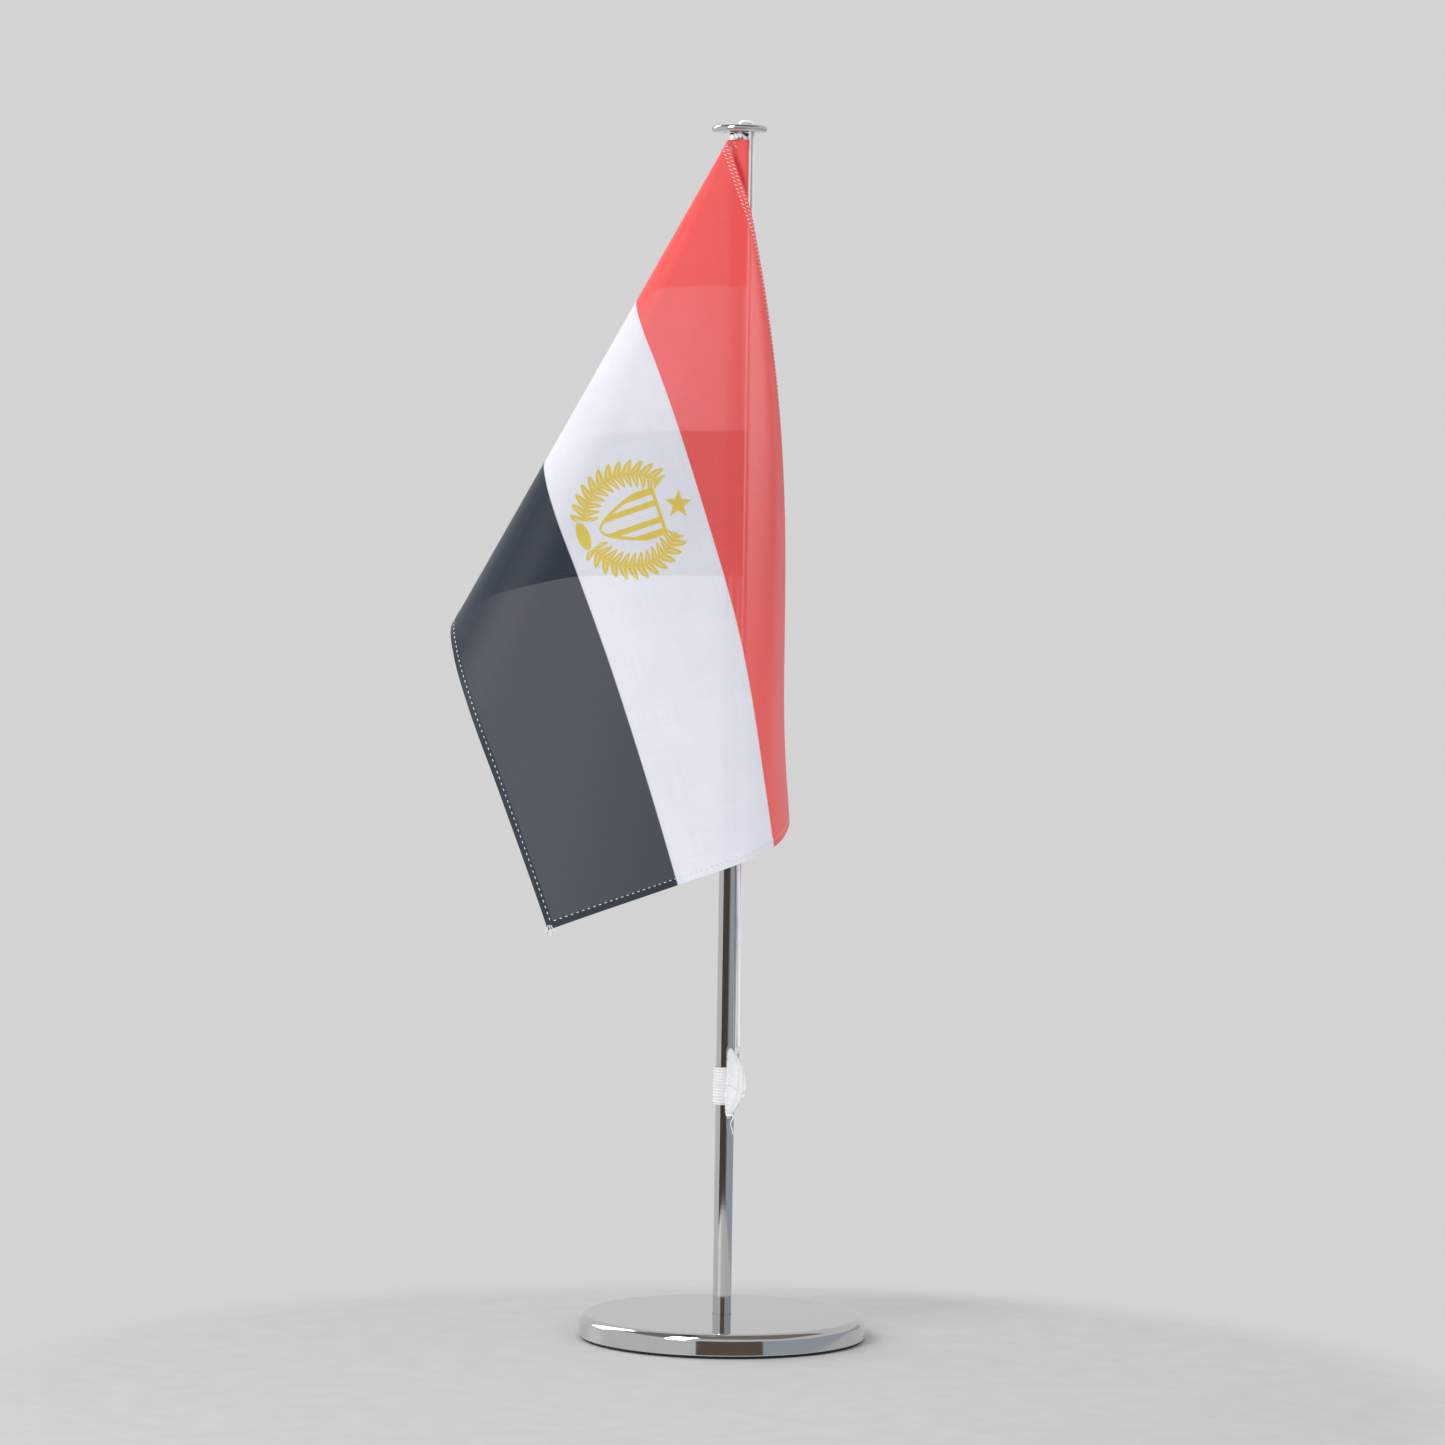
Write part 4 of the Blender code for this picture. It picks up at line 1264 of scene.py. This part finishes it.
def printed_polyester():
    """The flag's cloth: it lets some light through its threads and shows what is behind its gaps."""
    made, shader = new_material("printed_polyester", (0.60, 0.10, 0.08))
    tree = made.node_tree
    put, maths, add = node_maker(tree)
    flat = add("ShaderNodeUVMap", {"uv_map": "flat"})
    span = UV_SPAN * 1000
    before = (-SLEEVE_LENGTH * 1000, 0.0, 0.0)
    place = add("ShaderNodeMapping", Vector=flat, Scale=(span, span, 1.0), Location=before)
    printed = use_group(tree, flag_print, Vector=place)
    weave = use_group(tree, plain_weave, Vector=place, Threads=3.2)
    tone = toned(add, printed.outputs["Color"], weave.outputs["Shade"])
    put(shader.inputs["Base Color"], tone)
    put(shader.inputs["Normal"], relief(add, weave.outputs["Height"], 0.35, 0.00008))
    set_surface(shader, Roughness=0.48, Specular_IOR_Level=0.4, Sheen_Weight=0.3, Sheen_Roughness=0.5)
    through = tree.nodes.new("ShaderNodeBsdfTranslucent")
    put(through.inputs["Color"], tone)
    mix = tree.nodes.new("ShaderNodeMixShader")
    mix.inputs["Fac"].default_value = 0.35
    put(mix.inputs[1], shader.outputs[0])
    put(mix.inputs[2], through.outputs[0])
    gaps = tree.nodes.new("ShaderNodeBsdfTransparent")
    cloth = tree.nodes.new("ShaderNodeMixShader")
    facing = add("ShaderNodeLayerWeight", output=1, Blend=0.5)
    gap_share = maths("SUBTRACT", 1.0, cloth_cover(tree, place))
    squareness = maths("POWER", maths("SUBTRACT", 1.0, facing), 2.0)
    closing = maths("SUBTRACT", 1.0, maths("MULTIPLY", gap_share, squareness))
    put(cloth.inputs["Fac"], closing)
    put(cloth.inputs[1], gaps.outputs[0])
    put(cloth.inputs[2], mix.outputs[0])
    put(tree.nodes["Material Output"].inputs["Surface"], cloth.outputs[0])
    return made


columns = np.arange(1, round(FLAG_FLY / CELL) + 1) * CELL
rows = np.arange(0, round(FLAG_HOIST / CELL) + 1) * CELL
across = SLEEVE_STEPS + 1 + len(columns)
bpy.ops.object.select_all(action="DESELECT")
bpy.ops.mesh.primitive_grid_add(x_subdivisions=across - 1, y_subdivisions=len(rows) - 1)
flag = bpy.context.object
flag.name = "flag_cloth_printed"
roll = np.linspace(0.0, 1.0, SLEEVE_STEPS + 1)
roll_places = sleeve(np.tile(roll, (len(rows), 1)), np.tile(rows[:, None], (1, len(roll))))
free_places = hanging(np.tile(columns, (len(rows), 1)), np.tile(rows[:, None], (1, len(columns))))
flag_places = np.concatenate([roll_places, free_places], axis=1).reshape(-1, 3)
flag.data.vertices.foreach_set("co", flag_places.ravel())
flat_along = np.concatenate([(roll - 1) * SLEEVE_LENGTH, columns])
layer = flag.data.uv_layers.active
layer.name = "flat"
for loop in flag.data.loops:
    column, row = loop.vertex_index % across, loop.vertex_index // across
    layer.data[loop.index].uv = ((flat_along[column] + SLEEVE_LENGTH) / UV_SPAN, rows[row] / UV_SPAN)
hem_group = flag.vertex_groups.new(name="hem")
in_hem = []
for index in range(len(flag.data.vertices)):
    column, row = index % across, index // across
    from_edge = min(FLAG_FLY - flat_along[column], rows[row], FLAG_HOIST - rows[row])
    if from_edge < HEM + CELL / 2:
        in_hem.append(index)
hem_group.add(in_hem, 1.0, "REPLACE")
thickness = flag.modifiers.new("thickness", "SOLIDIFY")
thickness.thickness = HEM_THICKNESS
thickness.offset = 0.0
thickness.vertex_group = "hem"
thickness.thickness_vertex_group = CLOTH_SHARE
bpy.ops.object.modifier_apply(modifier="thickness")
finish_piece(flag, printed_polyester(), "flag", "flag_fabric", "flag_cloth", smooth_degrees=60)


# The hem stitches: a lock stitch in white polyester along the inner edge of each turned hem, and
# slanted overcast stitches on the top edge. Both sides of the cloth show them.
bpy.ops.object.select_all(action="DESELECT")
bpy.ops.mesh.primitive_uv_sphere_add(segments=6, ring_count=4, radius=1.0)
stitch_shape = bpy.context.object
stitch_corners = np.array([tuple(v.co) for v in stitch_shape.data.vertices])
stitch_faces = [tuple(f.vertices) for f in stitch_shape.data.polygons]
bpy.data.objects.remove(stitch_shape)


def surface_frame(along, down):
    """A place on the hanging cloth with its directions along the fly, down the hoist and outwards."""
    small = 0.0004
    fly, hoist = np.array([along]), np.array([down])
    place = hanging(fly, hoist)[0]
    ahead = hanging(fly + small, hoist)[0] - hanging(fly - small, hoist)[0]
    below = hanging(fly, hoist + small)[0] - hanging(fly, hoist - small)[0]
    ahead /= np.linalg.norm(ahead)
    below /= np.linalg.norm(below)
    out = np.cross(below, ahead)
    return place, ahead, below, out / np.linalg.norm(out)


def stitch_row(begin, finish, pitch, length, width, slant):
    """Stitches from one flat place to another, on both sides. Slant turns each within the cloth."""
    begin, finish = np.array(begin), np.array(finish)
    count = int(np.linalg.norm(finish - begin) / pitch)
    heading = (finish - begin) / np.linalg.norm(finish - begin)
    turn = math.radians(slant)
    lean_fly = heading[0] * math.cos(turn) - heading[1] * math.sin(turn)
    lean_hoist = heading[0] * math.sin(turn) + heading[1] * math.cos(turn)
    corners, faces = [], []
    for number in range(count):
        flat = begin + (finish - begin) * (number + 0.5) / count
        place, ahead, below, out = surface_frame(*flat)
        line = ahead * lean_fly + below * lean_hoist
        line /= np.linalg.norm(line)
        across_line = np.cross(out, line)
        for face_side in (1, -1):
            centre = place + out * face_side * HEM_THICKNESS * 0.5
            first = sum(len(c) for c in corners)
            shape = stitch_corners * (length / 2, width / 2, width * 0.4)
            wide = shape[:, 1:2] * across_line
            corners.append(centre + shape[:, :1] * line + wide + shape[:, 2:] * out)
            faces += [tuple(first + i for i in face) for face in stitch_faces]
    return np.concatenate(corners), faces


def thread_white():
    """The stitches' white polyester thread, a little dirty in places."""
    made, shader = new_material("hem_thread", (0.80, 0.80, 0.84))
    put, maths, add = node_maker(made.node_tree)
    place = own_place(add)
    twist = noise(add, place, 3200.0, 2.0)
    patches = noise(add, place, 240.0, 1.0)
    tone = toned(add, (0.80, 0.79, 0.82), maths("MULTIPLY_ADD", patches, 0.5, 0.62))
    put(shader.inputs["Base Color"], tone)
    put(shader.inputs["Normal"], relief(add, twist, 0.4, 0.00005))
    set_surface(shader, Roughness=0.7)
    return made


hem_thread = thread_white()
inner = HEM - 0.0003
foot_line = FLAG_HOIST - 0.0017
hoist_line = 0.0042
overcast = (0.0014, 0.0013, 0.00030, -58)  # pitch, length and width in metres, slant in degrees
lock_stitch = (0.0021, 0.0011, 0.00034, 0)
fine_stitch = (0.0021, 0.0011, 0.00030, 0)
stitch_rows = (
    ("stitches_top", (0.002, inner), (FLAG_FLY - inner, inner), overcast),
    ("stitches_top_edge", (0.002, 0.0009), (FLAG_FLY - 0.001, 0.0009), overcast),
    ("stitches_foot", (0.012, foot_line), (FLAG_FLY - inner, foot_line), lock_stitch),
    ("stitches_fly", (FLAG_FLY - inner, inner), (FLAG_FLY - inner, FLAG_HOIST - inner), lock_stitch),
    ("stitches_hoist", (hoist_line, 0.003), (hoist_line, FLAG_HOIST - 0.003), fine_stitch),
)
for name, begin, finish, stitch in stitch_rows:
    corners, faces = stitch_row(begin, finish, *stitch)
    mesh = bpy.data.meshes.new(name)
    mesh.from_pydata(corners.tolist(), [], faces)
    mesh.shade_smooth()
    stitches = bpy.data.objects.new(name, mesh)
    bpy.context.collection.objects.link(stitches)
    hand_over(stitches, hem_thread, "flag", "flag_fabric")


# The hem's thread ends: three short cut tails of sewing thread at the flag's lower fly corner,
# where the two rows of stitches meet.
HEM_TAILS = (  # sideways, back and down, in metres
    (-0.0012, -0.0004, -0.0026),
    (0.0004, -0.0008, -0.0034),
    (0.0016, 0.0002, -0.0022),
)
corner_place = surface_frame(FLAG_FLY - 0.001, FLAG_HOIST - 0.001)[0]
for number, hangs in enumerate(HEM_TAILS):
    start_place = Vector(corner_place) + Vector((0.0006 * (number - 1), -0.0002, 0.0004))
    end_place = start_place + Vector(hangs)
    middle = start_place.lerp(end_place, 0.5) + Vector((0.0005 * (1 - number), -0.0004, 0.0002))
    strand = swept(
        f"hem_tail_{number + 1}",
        even_route(smooth_route([start_place, middle, end_place], 0.0002), 0.00015),
        twisted(0.0003, 0.0008, 2),
        around=8,
    )
    hand_over(strand, sewing_thread, "flag", "flag_fabric")
